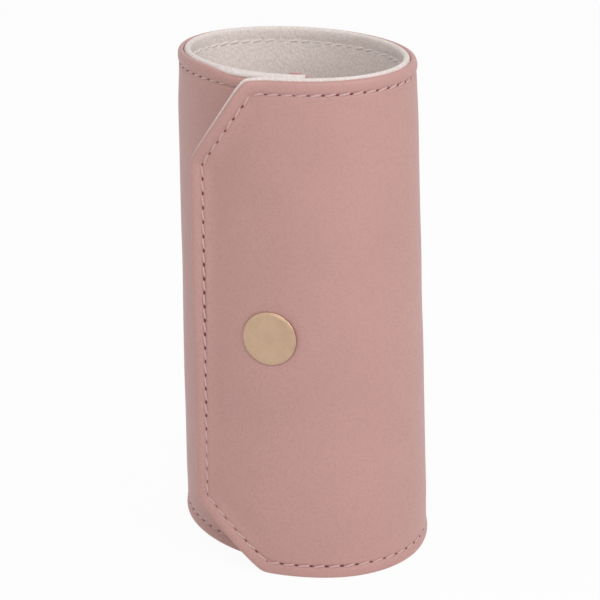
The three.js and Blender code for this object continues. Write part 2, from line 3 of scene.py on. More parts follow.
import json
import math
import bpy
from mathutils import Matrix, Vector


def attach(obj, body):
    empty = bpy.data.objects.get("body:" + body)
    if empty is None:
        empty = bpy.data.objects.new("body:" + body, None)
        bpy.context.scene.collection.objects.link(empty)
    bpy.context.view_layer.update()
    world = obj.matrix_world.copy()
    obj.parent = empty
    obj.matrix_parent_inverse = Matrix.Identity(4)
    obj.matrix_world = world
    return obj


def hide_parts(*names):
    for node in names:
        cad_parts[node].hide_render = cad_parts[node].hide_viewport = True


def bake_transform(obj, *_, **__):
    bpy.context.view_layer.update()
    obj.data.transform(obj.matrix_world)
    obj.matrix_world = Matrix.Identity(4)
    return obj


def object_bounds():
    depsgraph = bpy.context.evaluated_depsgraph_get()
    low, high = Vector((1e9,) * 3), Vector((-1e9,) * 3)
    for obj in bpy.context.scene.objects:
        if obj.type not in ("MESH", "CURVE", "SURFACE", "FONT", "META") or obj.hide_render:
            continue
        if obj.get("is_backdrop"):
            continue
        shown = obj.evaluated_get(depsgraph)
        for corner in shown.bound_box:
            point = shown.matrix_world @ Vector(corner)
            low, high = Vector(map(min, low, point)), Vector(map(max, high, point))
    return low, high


bl_info = {
    "name": "Travel jewelry roll",
    "version": (1, 0, 0),
    "blender": (4, 5, 0),
    "location": "View3D > Sidebar > Jewelry roll",
    "description": "Makes the leather, lining, stitches, snaps and inner fittings of a rolled jewelry case",
    "category": "Object",
}

from bisect import bisect_left
from functools import lru_cache

import bmesh
import bpy
from bpy.props import FloatProperty, FloatVectorProperty, PointerProperty
from mathutils import Matrix, Vector, noise

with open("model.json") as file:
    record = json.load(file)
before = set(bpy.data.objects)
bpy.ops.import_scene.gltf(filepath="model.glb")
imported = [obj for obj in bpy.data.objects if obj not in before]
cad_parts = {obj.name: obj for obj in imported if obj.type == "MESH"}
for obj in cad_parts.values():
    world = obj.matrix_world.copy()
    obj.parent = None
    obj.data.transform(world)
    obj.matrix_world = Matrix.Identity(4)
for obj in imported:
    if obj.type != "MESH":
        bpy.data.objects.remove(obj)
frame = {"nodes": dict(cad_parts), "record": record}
CAD_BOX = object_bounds()
MM = 0.001

# ---- The rolled panel as the solid model has it, in millimetres and degrees of winding ----

HEIGHT = 175.0
LONG_RADIUS = 49.4
SHORT_RADIUS = 39.4
OVAL_TURN = -44.5
FLARE = 0.088
INNER_END = -6
FLAP_EDGE = 410
FOLDS = (40, 85, 130, 175, 220, 265, 310, 335, 354)
STEP_IN = (60, 340)
LAYER_GAP = 1.2
FLAP_LIFT_STARTS = 352
FLAP_LIFT = (3.0, 3.5)
FOOT_LIFT_WINDS = (285, 345)
FOOT_LIFT = 2.6
CENTRE = Vector((-2.337, 3.224, 0))
FOOT_CUT = (23.5, 25.0)
TOP_CUT = (28.5, 21.5)
CORNER_SOFTNESS = 1.6
CORNER_FADE = 9.0
FLAP_CURL = (1.3, 3.6)
SHELL = 2.2
WALL = 4.2
SNAP_FROM_EDGE = 29.0
SNAP_RADIUS = 9.4
PLATE_RADIUS = 6.0
BAR_FROM_END = 6.5
RING_SPACE = 7.0
BAR_RADIUS = 6.5
POCKET_HEIGHTS = (12.0, 150.0)
ZIP_HEIGHTS = (24.0, 140.0)
ZIP_HALF_WIDTH = 4.5
NECKLACE_HEIGHTS = (122.0, 74.0)
STRIPS = [f"panel_{number}" for number in range(1, 10)] + ["flap"]
QUARTER_TURN = [math.pi / 2 * step / 6 for step in range(7)]


def smooth(low, high, value):
    """Rises smoothly from 0 at low to 1 at high."""
    share = min(max((value - low) / (high - low), 0.0), 1.0)
    return share * share * (3 - 2 * share)


def blend(first, second, share):
    return first + (second - first) * share


@lru_cache(maxsize=None)
def rim_point(wind, rise):
    """A point on the outer surface at the foot (rise 0) or the upper rim (rise 1)."""
    polar = math.radians(-90 - wind - OVAL_TURN)
    turn = math.atan2(LONG_RADIUS * math.sin(polar), SHORT_RADIUS * math.cos(polar))
    point = Vector((LONG_RADIUS * math.cos(turn), SHORT_RADIUS * math.sin(turn)))
    outward = Vector((SHORT_RADIUS * math.cos(turn), LONG_RADIUS * math.sin(turn))).normalized()
    on_flap = min(max((wind - FLAP_LIFT_STARTS) / (FLAP_EDGE - FLAP_LIFT_STARTS), 0.0), 1.1)
    offset = -(WALL + LAYER_GAP) * (1 - smooth(*STEP_IN, wind))
    offset += on_flap**2 * blend(*FLAP_LIFT, rise)
    offset += FOOT_LIFT * smooth(*FOOT_LIFT_WINDS, wind) * (1 - rise)
    point = (point + outward * offset) * (1 + FLARE * (0.5 - rise))
    point.rotate(Matrix.Rotation(math.radians(OVAL_TURN), 2))
    return Vector((point.x, point.y, HEIGHT * rise))


def outer_point(wind, height):
    return rim_point(wind, 0).lerp(rim_point(wind, 1), height / HEIGHT)


def outward_at(wind, height):
    along = outer_point(wind + 0.5, height) - outer_point(wind - 0.5, height)
    along.z = 0
    return Vector((0, 0, 1)).cross(along.normalized())


def wall_point(wind, height, depth):
    """The place at a winding, a height and a depth into the wall, in metres and in the part's frame."""
    point = outer_point(wind, height) - outward_at(wind, height) * depth + CENTRE
    return point * MM


ARCS = [0.0]
for _step in range(INNER_END, FLAP_EDGE):
    _gap = outer_point(_step + 1, HEIGHT / 2) - outer_point(_step, HEIGHT / 2)
    ARCS.append(ARCS[-1] + _gap.length)
LENGTH = ARCS[-1]


def arc_at(wind):
    place = min(max(wind - INNER_END, 0.0), len(ARCS) - 1.001)
    before = int(place)
    return blend(ARCS[before], ARCS[before + 1], place - before)


def wind_at(arc):
    after = min(max(bisect_left(ARCS, arc), 1), len(ARCS) - 1)
    share = (arc - ARCS[after - 1]) / (ARCS[after] - ARCS[after - 1])
    return INNER_END + after - 1 + share


def frame_at(wind):
    """The frame at a winding, in millimetres: X along the panel, Y out of the wall and Z up the panel."""
    foot = outer_point(wind, 0)
    up = (outer_point(wind, HEIGHT) - foot).normalized()
    along = outward_at(wind, HEIGHT / 2).cross(up).normalized()
    outward = up.cross(along)
    turned = Matrix((along, outward, up)).transposed().to_4x4()
    return Matrix.Scale(MM, 4) @ Matrix.Translation(foot + CENTRE) @ turned


def edge_loss(arc, inset, cut):
    """How far above the foot, or below the rim, an outline lies that is drawn this far inside the edge."""
    down, along = cut
    slanted = down * (1 - (LENGTH - arc) / along) + inset * math.hypot(1, down / along)
    apart = slanted - inset
    softened = (apart + math.hypot(apart, CORNER_SOFTNESS)) / 2
    return inset + softened - CORNER_SOFTNESS**2 / 4 / (abs(apart) + CORNER_FADE)


def skin_point(arc, height, depth, distance):
    """A place in the wall's soft layers, whose outermost strip on the flap curls away from the roll."""
    near_edge = smooth(9, 0, distance) * smooth(30, 16, LENGTH - arc)
    curl = blend(*FLAP_CURL, height / HEIGHT) * near_edge
    return wall_point(wind_at(arc), height, depth - curl)


STRIP_WINDS = (INNER_END, *FOLDS, FLAP_EDGE)
MIDDLES = [arc_at((a + b) / 2) for a, b in zip(STRIP_WINDS, STRIP_WINDS[1:])]
FOLD_ARCS = [arc_at(wind) for wind in FOLDS]
SNAP_ARC = LENGTH - SNAP_FROM_EDGE
SNAP_WIND = wind_at(SNAP_ARC)
STUD_ARC = arc_at(SNAP_WIND - 360)


# ---- Sizes and colours that a user would change ----


def paint(red, green, blue):
    """A colour as it looks, 0 to 255, made linear for the shaders."""
    shares = [value / 255 for value in (red, green, blue)]
    return tuple(v / 12.92 if v < 0.04045 else ((v + 0.055) / 1.055) ** 2.4 for v in shares)


def colour(name, description, *value):
    return FloatVectorProperty(
        name=name, description=description, subtype="COLOR", size=3, min=0, max=1, default=paint(*value)
    )


def size(name, description, value):
    return FloatProperty(
        name=name,
        description=description,
        default=value * MM,
        unit="LENGTH",
        subtype="DISTANCE",
        precision=5,
    )


def level(name, description, value, **settings):
    return FloatProperty(name=name, description=description, default=value, min=0, **settings)


class RollSizes(bpy.types.PropertyGroup):
    """Sizes of the soft work on the panel."""

    seam_inset: size("Seam inset", "From the edge to the row of stitches", 4.5)
    stitch_pitch: size("Stitch pitch", "From one needle hole to the next", 5.0)
    thread: size("Thread", "Thickness of the sewing thread", 0.88)
    turned_edge: size("Turned edge", "Thickness of the leather folded round the board", 1.9)
    flap_edge: size("Flap's edge", "Thickness of the leather folded round the flap's edge", 3.1)
    lining_line: size("Lining line", "How far the lining shows beyond the flap's upper edge", 1.5)
    tucked_rim: size("Tucked rim", "How far the inner turn's leather rim sinks behind the flap", 1.5)
    groove: size("Seam groove", "How deep the stitches pull the leather in", 0.42)
    leather_swell: size("Leather swell", "How far the padding swells the leather", 0.35)
    lining_swell: size("Lining swell", "How far the padding swells the lining", 0.35)
    lining_proud: size("Lining stands proud", "How far the lining's edge stands above the leather's", 0.5)
    cap_rise: size("Cap rise", "How far the snap's cap stands out of the leather", 1.3)


class RollColours(bpy.types.PropertyGroup):
    """Colours of the roll and of its stage."""

    leather: colour("Leather", "Colour of the leather", 202, 156, 150)
    lining: colour("Lining", "Colour of the velvet", 248, 238, 234)
    thread: colour("Outer thread", "Colour of the thread on the leather", 214, 178, 175)
    lining_thread: colour("Inner thread", "Colour of the thread on the lining", 236, 228, 224)
    # painted shade: the colour of the dark beads that stand for the shade in the needle holes
    hole_shade: colour("Needle hole", "Colour in the needle holes", 124, 72, 70)
    metal: colour("Metal", "Colour of the plated metal", 196, 167, 141)
    board: colour("Board", "Colour of the boards in the wall", 156, 143, 132)
    tape: colour("Zip tape", "Colour of the woven zip tape", 207, 191, 182)
    foam: colour("Bar core", "Colour of the ring bar's core", 230, 224, 216)
    backdrop: colour("Backdrop", "Colour of the floor and the background", 250, 250, 250)


class RollStage(bpy.types.PropertyGroup):
    """Levels of the stage's light."""

    surround: level("Surround", "Level of the light from all round", 0.535)
    key: level("Key", "Power of the large light", 4.0, unit="POWER")
    top: level("Top", "Power of the light overhead", 3.4, unit="POWER")


def sizes():
    """The sizes in millimetres, by name."""
    held = bpy.context.scene.roll_sizes
    return {name: getattr(held, name) / MM for name in held.__annotations__}


# ---- Materials ----


class Shade:
    """A node's output; sums and products of it add Math nodes."""

    def __init__(self, nodes, socket):
        self.nodes = nodes
        self.socket = socket

    def join(self, operation, first, second):
        return self.nodes.node("ShaderNodeMath", {"operation": operation}, {0: first, 1: second})

    def __add__(self, other):
        return self.join("ADD", self, other)

    def __radd__(self, other):
        return self.join("ADD", other, self)

    def __rsub__(self, other):
        return self.join("SUBTRACT", other, self)

    def __mul__(self, other):
        return self.join("MULTIPLY", self, other)

    def __rmul__(self, other):
        return self.join("MULTIPLY", other, self)


class Nodes:
    """The nodes of a material or of the world."""

    def __init__(self, tree):
        self.tree = tree

    def node(self, kind, settings=None, sockets=None, output=0):
        """Adds a node, with its settings first and then its sockets' values or links; gives one output."""
        made = self.tree.nodes.new(kind)
        for key, value in (settings or {}).items():
            setattr(made, key, value)
        for key, value in (sockets or {}).items():
            if isinstance(value, Shade):
                self.tree.links.new(value.socket, made.inputs[key])
            else:
                made.inputs[key].default_value = value
        return Shade(self, made.outputs[output]) if made.outputs else None

    def in_view(self):
        """1 on rays from the camera, straight or by way of a shiny or clear piece, and 0 on all others."""
        kinds = ("Camera", "Glossy", "Transmission")
        seen, *others = [self.node("ShaderNodeLightPath", output=f"Is {kind} Ray") for kind in kinds]
        for ray in others:
            seen = seen.join("MAXIMUM", seen, ray)
        return seen


class Look(Nodes):
    """A procedural material under construction."""

    def __init__(self, name, mapped="UV", **constants):
        self.material = bpy.data.materials.new(name)
        self.material.use_nodes = True
        super().__init__(self.material.node_tree)
        self.shader = next(node for node in self.tree.nodes if node.type == "BSDF_PRINCIPLED")
        for socket, value in constants.items():
            self.shader.inputs[socket.replace("_", " ")].default_value = value
        self.place = self.node("ShaderNodeTexCoord", output=mapped) if mapped else None

    def noise(self, scale, detail=2.0, roughness=0.5, place=None):
        """Soft random values about a half; scale is in lumps to the metre."""
        sockets = {
            "Vector": place or self.place,
            "Scale": scale,
            "Detail": detail,
            "Roughness": roughness,
        }
        return self.node("ShaderNodeTexNoise", {}, sockets)

    def cells(self, scale):
        """The distance from scattered points; scale is in points to the metre."""
        return self.node("ShaderNodeTexVoronoi", {"feature": "F1"}, {"Vector": self.place, "Scale": scale})

    def stretched(self, *factors):
        """The texture's place with its axes drawn out."""
        return self.node("ShaderNodeMapping", {}, {"Vector": self.place, "Scale": factors})

    def steps(self, value, low, high):
        """The value drawn out so that low becomes 0 and high becomes 1."""
        return self.node("ShaderNodeMapRange", {}, {"Value": value, "From Min": low, "From Max": high})

    def mix(self, factor, first, second):
        """One colour passing into another."""
        return self.node("ShaderNodeMix", {"data_type": "RGBA"}, {0: factor, 6: first, 7: second}, 2)

    def attribute(self, name):
        return self.node("ShaderNodeAttribute", {"attribute_name": name}, {}, 2)

    def bump(self, height, distance, strength=1.0, under=None):
        sockets = {"Height": height, "Distance": distance, "Strength": strength}
        if under:
            sockets["Normal"] = under
        return self.node("ShaderNodeBump", {}, sockets)

    def feed(self, **sockets):
        for name, value in sockets.items():
            self.tree.links.new(value.socket, self.shader.inputs[name.replace("_", " ")])
        return self.material


def tint(base, factor, warmth=0.0):
    """A colour made lighter or darker, and a little warmer."""
    warmths = (1 + warmth, 1, 1 - warmth)
    return (*(min(value * factor * warm, 1) for value, warm in zip(base, warmths)), 1)


def leather_look(name, mapped="UV"):
    """Smooth fine-grained leather with faint mottling, a painted highlight on its rounded edges and painted
    shade in its seam groove.
    """
    base = bpy.context.scene.roll_colours.leather
    look = Look(name, mapped, Roughness=0.42, Specular_IOR_Level=0.42)
    mottle = look.noise(38, 3, 0.55)
    blotch = look.noise(9, 2, 0.5)
    grain = look.cells(1500)
    pores = look.noise(3400, 2, 0.6)
    colour_out = look.mix(look.steps(mottle, 0.3, 0.7), tint(base, 0.965), tint(base, 1.03))
    colour_out = look.mix(look.steps(blotch, 0.35, 0.65) * 0.4, colour_out, tint(base, 0.96, 0.01))
    colour_out = look.mix(look.steps(grain, 0.4, 0.75) * 0.4, colour_out, tint(base, 0.82, 0.02))
    if mapped == "UV":
        # painted highlight: the outermost couple of millimetres of each rounded edge are painted paler
        edge = look.attribute("edge")
        edge_highlight = 1 - look.steps(edge, 0.9, 2.4)
        colour_out = look.mix(edge_highlight * 0.22, colour_out, tint(base, 1.07))
        # painted shade: the leather is painted darker along the seam's groove
        seam_groove_shade = look.attribute("seam")
        colour_out = look.mix(seam_groove_shade * 0.34, colour_out, tint(base, 0.72, 0.03))
    rough = 0.38 + look.noise(160, 2) * 0.1 + grain * 0.06
    coarse = look.bump(look.noise(300, 4, 0.65), 0.00016, 0.8)
    fine = look.bump(grain * 0.6 + pores * 0.4, 0.00006, 0.9, coarse)
    return look.feed(Base_Color=colour_out, Roughness=rough, Normal=fine)


def velvet_look(name, mapped="UV"):
    """Short velvet pile, brushed lighter and darker in small patches."""
    base = bpy.context.scene.roll_colours.lining
    sheen = {"Sheen_Weight": 0.35, "Sheen_Roughness": 0.45}
    look = Look(name, mapped, Roughness=0.95, Specular_IOR_Level=0.15, **sheen)
    nap = look.noise(1000, 3, 0.6)
    patch = look.noise(110, 2, 0.5)
    tuft = look.cells(820)
    colour_out = look.mix(look.steps(nap, 0.36, 0.64), tint(base, 0.9, 0.02), tint(base, 1.06))
    colour_out = look.mix(look.steps(patch, 0.45, 0.7) * 0.2, colour_out, tint(base, 0.92, 0.02))
    colour_out = look.mix(look.steps(tuft, 0.45, 0.85) * 0.38, colour_out, tint(base, 0.82, 0.03))
    rough = 0.9 + nap * 0.1
    coarse = look.bump(nap, 0.00022, 0.8)
    fine = look.bump(tuft, 0.00012, 0.9, coarse)
    return look.feed(Base_Color=colour_out, Roughness=rough, Normal=fine)


def thread_look(name, base):
    """Twisted sewing thread."""
    look = Look(name, "Object", Roughness=0.6, Sheen_Weight=0.2)
    twist = look.noise(5200, 2, 0.5, look.stretched(0.6, 0.6, 1.6))
    colour_out = look.mix(look.steps(twist, 0.35, 0.65), tint(base, 0.82), tint(base, 1.1))
    rough = 0.52 + twist * 0.16
    return look.feed(Base_Color=colour_out, Roughness=rough, Normal=look.bump(twist, 0.00008))


def hole_shade_look(name):
    """The shade inside a needle hole."""
    base = bpy.context.scene.roll_colours.hole_shade
    look = Look(name, "Object", Roughness=0.9, Specular_IOR_Level=0.1)
    grain = look.noise(4000, 2)
    return look.feed(
        Base_Color=look.mix(grain, tint(base, 0.8), tint(base, 1.15)), Normal=look.bump(grain, 0.00005)
    )


def metal_look(name):
    """Satin plated metal with fine handling marks."""
    base = bpy.context.scene.roll_colours.metal
    look = Look(name, "Object", Metallic=1.0, Roughness=0.3)
    cloud = look.noise(260, 3, 0.55)
    hair = look.noise(2600, 2, 0.6, look.stretched(0.25, 1.0, 1.4))
    colour_out = look.mix(look.steps(cloud, 0.35, 0.65), tint(base, 0.93, 0.01), tint(base, 1.03))
    rough = 0.27 + cloud * 0.12 + hair * 0.06
    return look.feed(Base_Color=colour_out, Roughness=rough, Normal=look.bump(hair, 0.000008, 0.5))


def plain_look(name, base, scale, depth, roughness=0.85):
    """A matt fibrous material, such as board, foam or woven tape."""
    look = Look(name, "Object", Roughness=roughness, Specular_IOR_Level=0.2)
    fibre = look.noise(scale, 4, 0.65)
    speck = look.noise(scale * 4, 2)
    colour_out = look.mix(look.steps(fibre, 0.3, 0.7), tint(base, 0.86), tint(base, 1.07))
    rough = roughness - 0.05 + speck * 0.1
    return look.feed(Base_Color=colour_out, Roughness=rough, Normal=look.bump(fibre, depth))


def weave_look(name):
    """Woven zip tape: fine ribs with flecks."""
    base = bpy.context.scene.roll_colours.tape
    look = Look(name, "Object", Roughness=0.9)
    ribs = look.node(
        "ShaderNodeTexWave",
        {"bands_direction": "Z"},
        {"Vector": look.place, "Scale": 420.0, "Distortion": 0.6, "Detail": 1.0},
        1,
    )
    fleck = look.noise(1800, 2)
    colour_out = look.mix(ribs * 0.7 + fleck * 0.3, tint(base, 0.8), tint(base, 1.05))
    return look.feed(Base_Color=colour_out, Normal=look.bump(ribs, 0.0001))


def material(name):
    """The finished material of that name, made the first time it is asked for."""
    found = bpy.data.materials.get(name)
    if found:
        return found
    colours = bpy.context.scene.roll_colours
    makers = {
        "roll_leather": leather_look,
        "roll_velvet": velvet_look,
        "fitting_leather": lambda n: leather_look(n, "Object"),
        "fitting_velvet": lambda n: velvet_look(n, "Object"),
        "outer_thread": lambda n: thread_look(n, colours.thread),
        "inner_thread": lambda n: thread_look(n, colours.lining_thread),
        "needle_hole": hole_shade_look,
        "plated_metal": metal_look,
        "grey_board": lambda n: plain_look(n, colours.board, 900, 0.00006),
        "bar_foam": lambda n: plain_look(n, colours.foam, 1600, 0.0001),
        "zip_tape": weave_look,
    }
    return makers[name](name)


# ---- Making and fastening pieces ----


def finish_mesh(bm, name, materials, slot, flat_angle=None, spot=None):
    """Makes a bmesh a smooth-faced object, moved by spot; edges sharper than flat_angle stay crisp."""
    if spot is not None:
        bmesh.ops.transform(bm, matrix=spot, verts=bm.verts)
    bmesh.ops.recalc_face_normals(bm, faces=bm.faces)
    for face in bm.faces:
        face.smooth = True
    if flat_angle is not None:
        for edge in bm.edges:
            if edge.is_manifold and edge.calc_face_angle(0) > math.radians(flat_angle):
                edge.smooth = False
    mesh = bpy.data.meshes.new(name)
    bm.to_mesh(mesh)
    bm.free()
    made = bpy.data.objects.new(name, mesh)
    bpy.context.scene.collection.objects.link(made)
    for each in materials:
        mesh.materials.append(material(each))
    return made


SECTION_ENDS = [0.0, *MIDDLES, LENGTH]
SECTIONS = list(enumerate(zip(SECTION_ENDS, SECTION_ENDS[1:])))
LAST_SECTION = len(FOLDS) + 1
BEND_REACH = 9.5
BEND_CLEARANCE = 0.8
CAP_CLEARANCE = 0.2


def fasten(piece, number):
    """Fastens a section of a skin: the first rides on strip 1, the last on the flap, and the others are baked
    in place.
    """
    if number == 0:
        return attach(piece, STRIPS[0])
    if number == LAST_SECTION:
        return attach(piece, STRIPS[-1])
    fold = FOLD_ARCS[number - 1]
    if number == len(FOLDS):
        clear_of_cap = (SNAP_ARC - SNAP_RADIUS) - fold - CAP_CLEARANCE
        start, end = fold - clear_of_cap, fold + clear_of_cap
    else:
        start = max(MIDDLES[number - 1] + BEND_CLEARANCE, fold - BEND_REACH)
        end = min(MIDDLES[number] - BEND_CLEARANCE, fold + BEND_REACH)
    ends = [wall_point(wind_at(arc), HEIGHT / 2, SHELL / 2) for arc in (start, end)]
    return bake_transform(piece, STRIPS[number - 1], STRIPS[number], start=tuple(ends[0]), end=tuple(ends[1]))


EDGE_ROWS = (0, 0.12, 0.36, 0.7, 1.15, 1.8, 2.6, 3.3, 3.75, 4.1, 4.5, 4.9, 5.3, 5.7, 6.0, 7.5, 9.5)
ROW_STEP = 1.9
COLUMN_STEP = 1.0
SIDES_APART = 5.0  # between the outer and the inner side on the UV map


def columns_between(start, end, first_is_edge, last_is_edge):
    """Arcs from start to end, about COLUMN_STEP apart and closer at a free edge."""
    low = EDGE_ROWS[-1] if first_is_edge else 0
    high = EDGE_ROWS[-1] if last_is_edge else 0
    count = max(1, round((end - start - low - high) / COLUMN_STEP))
    stops = [start + inset for inset in EDGE_ROWS[:-1]] if first_is_edge else []
    stops += [blend(start + low, end - high, step / count) for step in range(count + 1)]
    if last_is_edge:
        stops += [end - inset for inset in reversed(EDGE_ROWS[:-1])]
    return stops


def rows_up(arc):
    """Heights up the panel at an arc and how far each is from the rims, closer together at the rims."""
    foot = [(edge_loss(arc, inset, FOOT_CUT), inset) for inset in EDGE_ROWS]
    rim = [(HEIGHT - edge_loss(arc, inset, TOP_CUT), inset) for inset in EDGE_ROWS]
    return fill_between(foot, rim, round((HEIGHT - 2 * EDGE_ROWS[-1]) / ROW_STEP))


def fill_between(lower, upper, count):
    """Evenly spaced heights between the lower rows and the upper rows."""
    start, end = lower[-1][0], upper[-1][0]
    middle = []
    for step in range(1, count):
        height = blend(start, end, step / count)
        middle.append((height, lower[-1][1] + min(height - start, end - height)))
    return lower + middle + upper[::-1]


def plain_rows(low, high, insets, step):
    """Rows between two level edges."""
    lower = [(low + inset, inset) for inset in insets]
    upper = [(high - inset, inset) for inset in insets]
    return lambda arc: fill_between(lower, upper, max(2, round((high - low - 2 * insets[-1]) / step)))


def rounded(distance, radius):
    """How far a rounded edge falls back at this distance in from the edge."""
    short = max(radius - distance, 0)
    return radius - math.sqrt(max(radius * radius - short * short, 0))


def pillow(arcs, place_of, seam_of, rows=rows_up, ends=(0.0, LENGTH)):
    """A closed skin over a stretch of the panel: up its outer side and down its inner side.

    place_of(arc, height, distance, side) gives the place in metres, and distance is how far it is from the
    outline. seam_of(distance, side) gives how much of a seam is there. ends are the outline's ends.
    """
    bm = bmesh.new()
    heights = [rows(arc) for arc in arcs]
    count = len(heights[0])
    around = 2 * (count - 1)
    across = len(arcs) - 1
    bmesh.ops.create_grid(bm, x_segments=across, y_segments=around, size=0.5)
    edge_layer = bm.verts.layers.float.new("edge")
    # the seam layer is also the mask of the painted shade in the leather's seam groove
    seam_layer = bm.verts.layers.float.new("seam")
    uv_layer = bm.loops.layers.uv.new("UVMap")
    spot = {}
    for vert in bm.verts:
        column = round((vert.co.x + 0.5) * across)
        row = round((vert.co.y + 0.5) * around)
        side = 0 if row < count else 1
        step = row if side == 0 else around - row
        arc = arcs[column]
        height, inset = heights[column][step]
        distance = max(0.0, min(inset, arc - ends[0], ends[1] - arc))
        spot[vert] = (arc, height, row)
        vert.co = place_of(arc, height, distance, side)
        vert[edge_layer] = distance
        vert[seam_layer] = seam_of(distance, side)
    for face in bm.faces:
        back = max(spot[loop.vert][2] for loop in face.loops) > count - 1
        for loop in face.loops:
            arc, height, _ = spot[loop.vert]
            loop[uv_layer].uv = (arc * MM, (2 * HEIGHT + SIDES_APART - height if back else height) * MM)
    bmesh.ops.remove_doubles(bm, verts=bm.verts, dist=1e-6)
    bmesh.ops.dissolve_degenerate(bm, dist=1e-7, edges=bm.edges)
    open_edges = [edge for edge in bm.edges if edge.is_boundary]
    for edge in open_edges:
        edge.smooth = False
    bmesh.ops.holes_fill(bm, edges=open_edges, sides=0)
    return bm


def unevenness(arc, height, scale, strength):
    return strength * noise.noise(Vector((arc / scale, height / scale, 0.37 * strength)))


def ridge(distance, centre, width):
    return math.exp(-(((distance - centre) / width) ** 2))


def around_snap(arc, height, centre_arc):
    return math.hypot(arc - centre_arc, height - HEIGHT / 2)


def edge_thickness(mm, arc):
    """How thick the leather's folded edge is: thicker round the flap."""
    return blend(mm["turned_edge"], mm["flap_edge"], smooth(26, 16, LENGTH - arc))


def tucked(arc):
    """1 where the inner turn is tucked behind the flap."""
    return smooth(44, 26, arc)


def strip_word(number):
    """What a section's strip is called in the solid model."""
    return "flap" if number >= len(FOLDS) else str(number + 1)


def skin_sections(name, covers, place_of, seam_of, look):
    """Makes a skin in sections split halfway between the folds; gives each with its number and its length."""
    for number, (start, end) in SECTIONS:
        arcs = columns_between(start, end, number == 0, number == LAST_SECTION)
        bm = pillow(arcs, place_of, seam_of)
        piece = finish_mesh(bm, f"{name}_{number + 1}", [look], covers)
        fasten(piece, number)
        if number < len(STRIPS):
            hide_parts(f"{covers}_{strip_word(number)}")
        yield piece, number, end - start


def axes(along, across, up):
    """The matrix whose three columns are these directions."""
    return Matrix((along, across, up)).transposed().to_4x4()


def bead(bm, matrix, rings=6):
    """Adds a small closed ball that its matrix draws out and places."""
    made = bmesh.ops.create_uvsphere(bm, u_segments=8, v_segments=rings, radius=1, matrix=matrix)
    return made["verts"]


# ---- The operators ----


class MakesPieces:
    """What every operator of this add-on shares."""

    bl_options = {"REGISTER", "UNDO"}

    def execute(self, context):
        self.make(sizes())
        return {"FINISHED"}


TURNED_OVER = 12  # leather folded over the two rims


class ROLL_OT_leather(MakesPieces, bpy.types.Operator):
    """Makes the leather skin in sections split halfway between the folds"""

    bl_idname = "jewelry_roll.leather"
    bl_label = "Leather"

    def make(self, mm):
        def seam_depth(distance):
            return ridge(distance, mm["seam_inset"], 0.62)

        def relief(arc, height, distance):
            hidden = 1 - 0.7 * smooth(75, 55, arc)
            swell = mm["leather_swell"] * smooth(5, 20, distance) * hidden
            border = 0.3 * math.sin(math.pi * min(max((distance - 0.3) / 3.9, 0), 1))
            near_cap = around_snap(arc, height, SNAP_ARC)
            pressed = 0.55 * ridge(near_cap, SNAP_RADIUS - 1, 2.2) + 0.4 * smooth(SNAP_RADIUS, 3, near_cap)
            near_stud = around_snap(arc, height, STUD_ARC)
            pressed += (0.55 + swell) * smooth(PLATE_RADIUS + 2.4, PLATE_RADIUS + 0.4, near_stud)
            calm = smooth(0, 3, distance)
            rough = unevenness(arc, height, 21, 0.22) + unevenness(arc, height, 60, 0.35)
            return swell + border - mm["groove"] * seam_depth(distance) - pressed + rough * calm * hidden

        def place_of(arc, height, distance, side):
            edge = edge_thickness(mm, arc)
            fallen = rounded(distance, edge / 2)
            if side == 0:
                depth = fallen - relief(arc, height, distance) * smooth(0, 0.9, distance)
            else:
                depth = blend(edge - fallen, 1.0, smooth(5.6, 5.95, distance))
            drop = mm["tucked_rim"] * tucked(arc) * smooth(HEIGHT - 9, HEIGHT, height)
            return skin_point(arc, height - drop, depth, distance)

        def seam_of(distance, side):
            return seam_depth(distance) if side == 0 else 0.0

        skin = skin_sections("leather_skin", "leather", place_of, seam_of, "roll_leather")
        for piece, number, length in skin:
            flat = (length * MM, (HEIGHT + TURNED_OVER) * MM)
            f"board_{strip_word(number)}"


LINING_INSET = 0.3
PIT_DEPTH = 3.25  # of the lining over the snap's plates


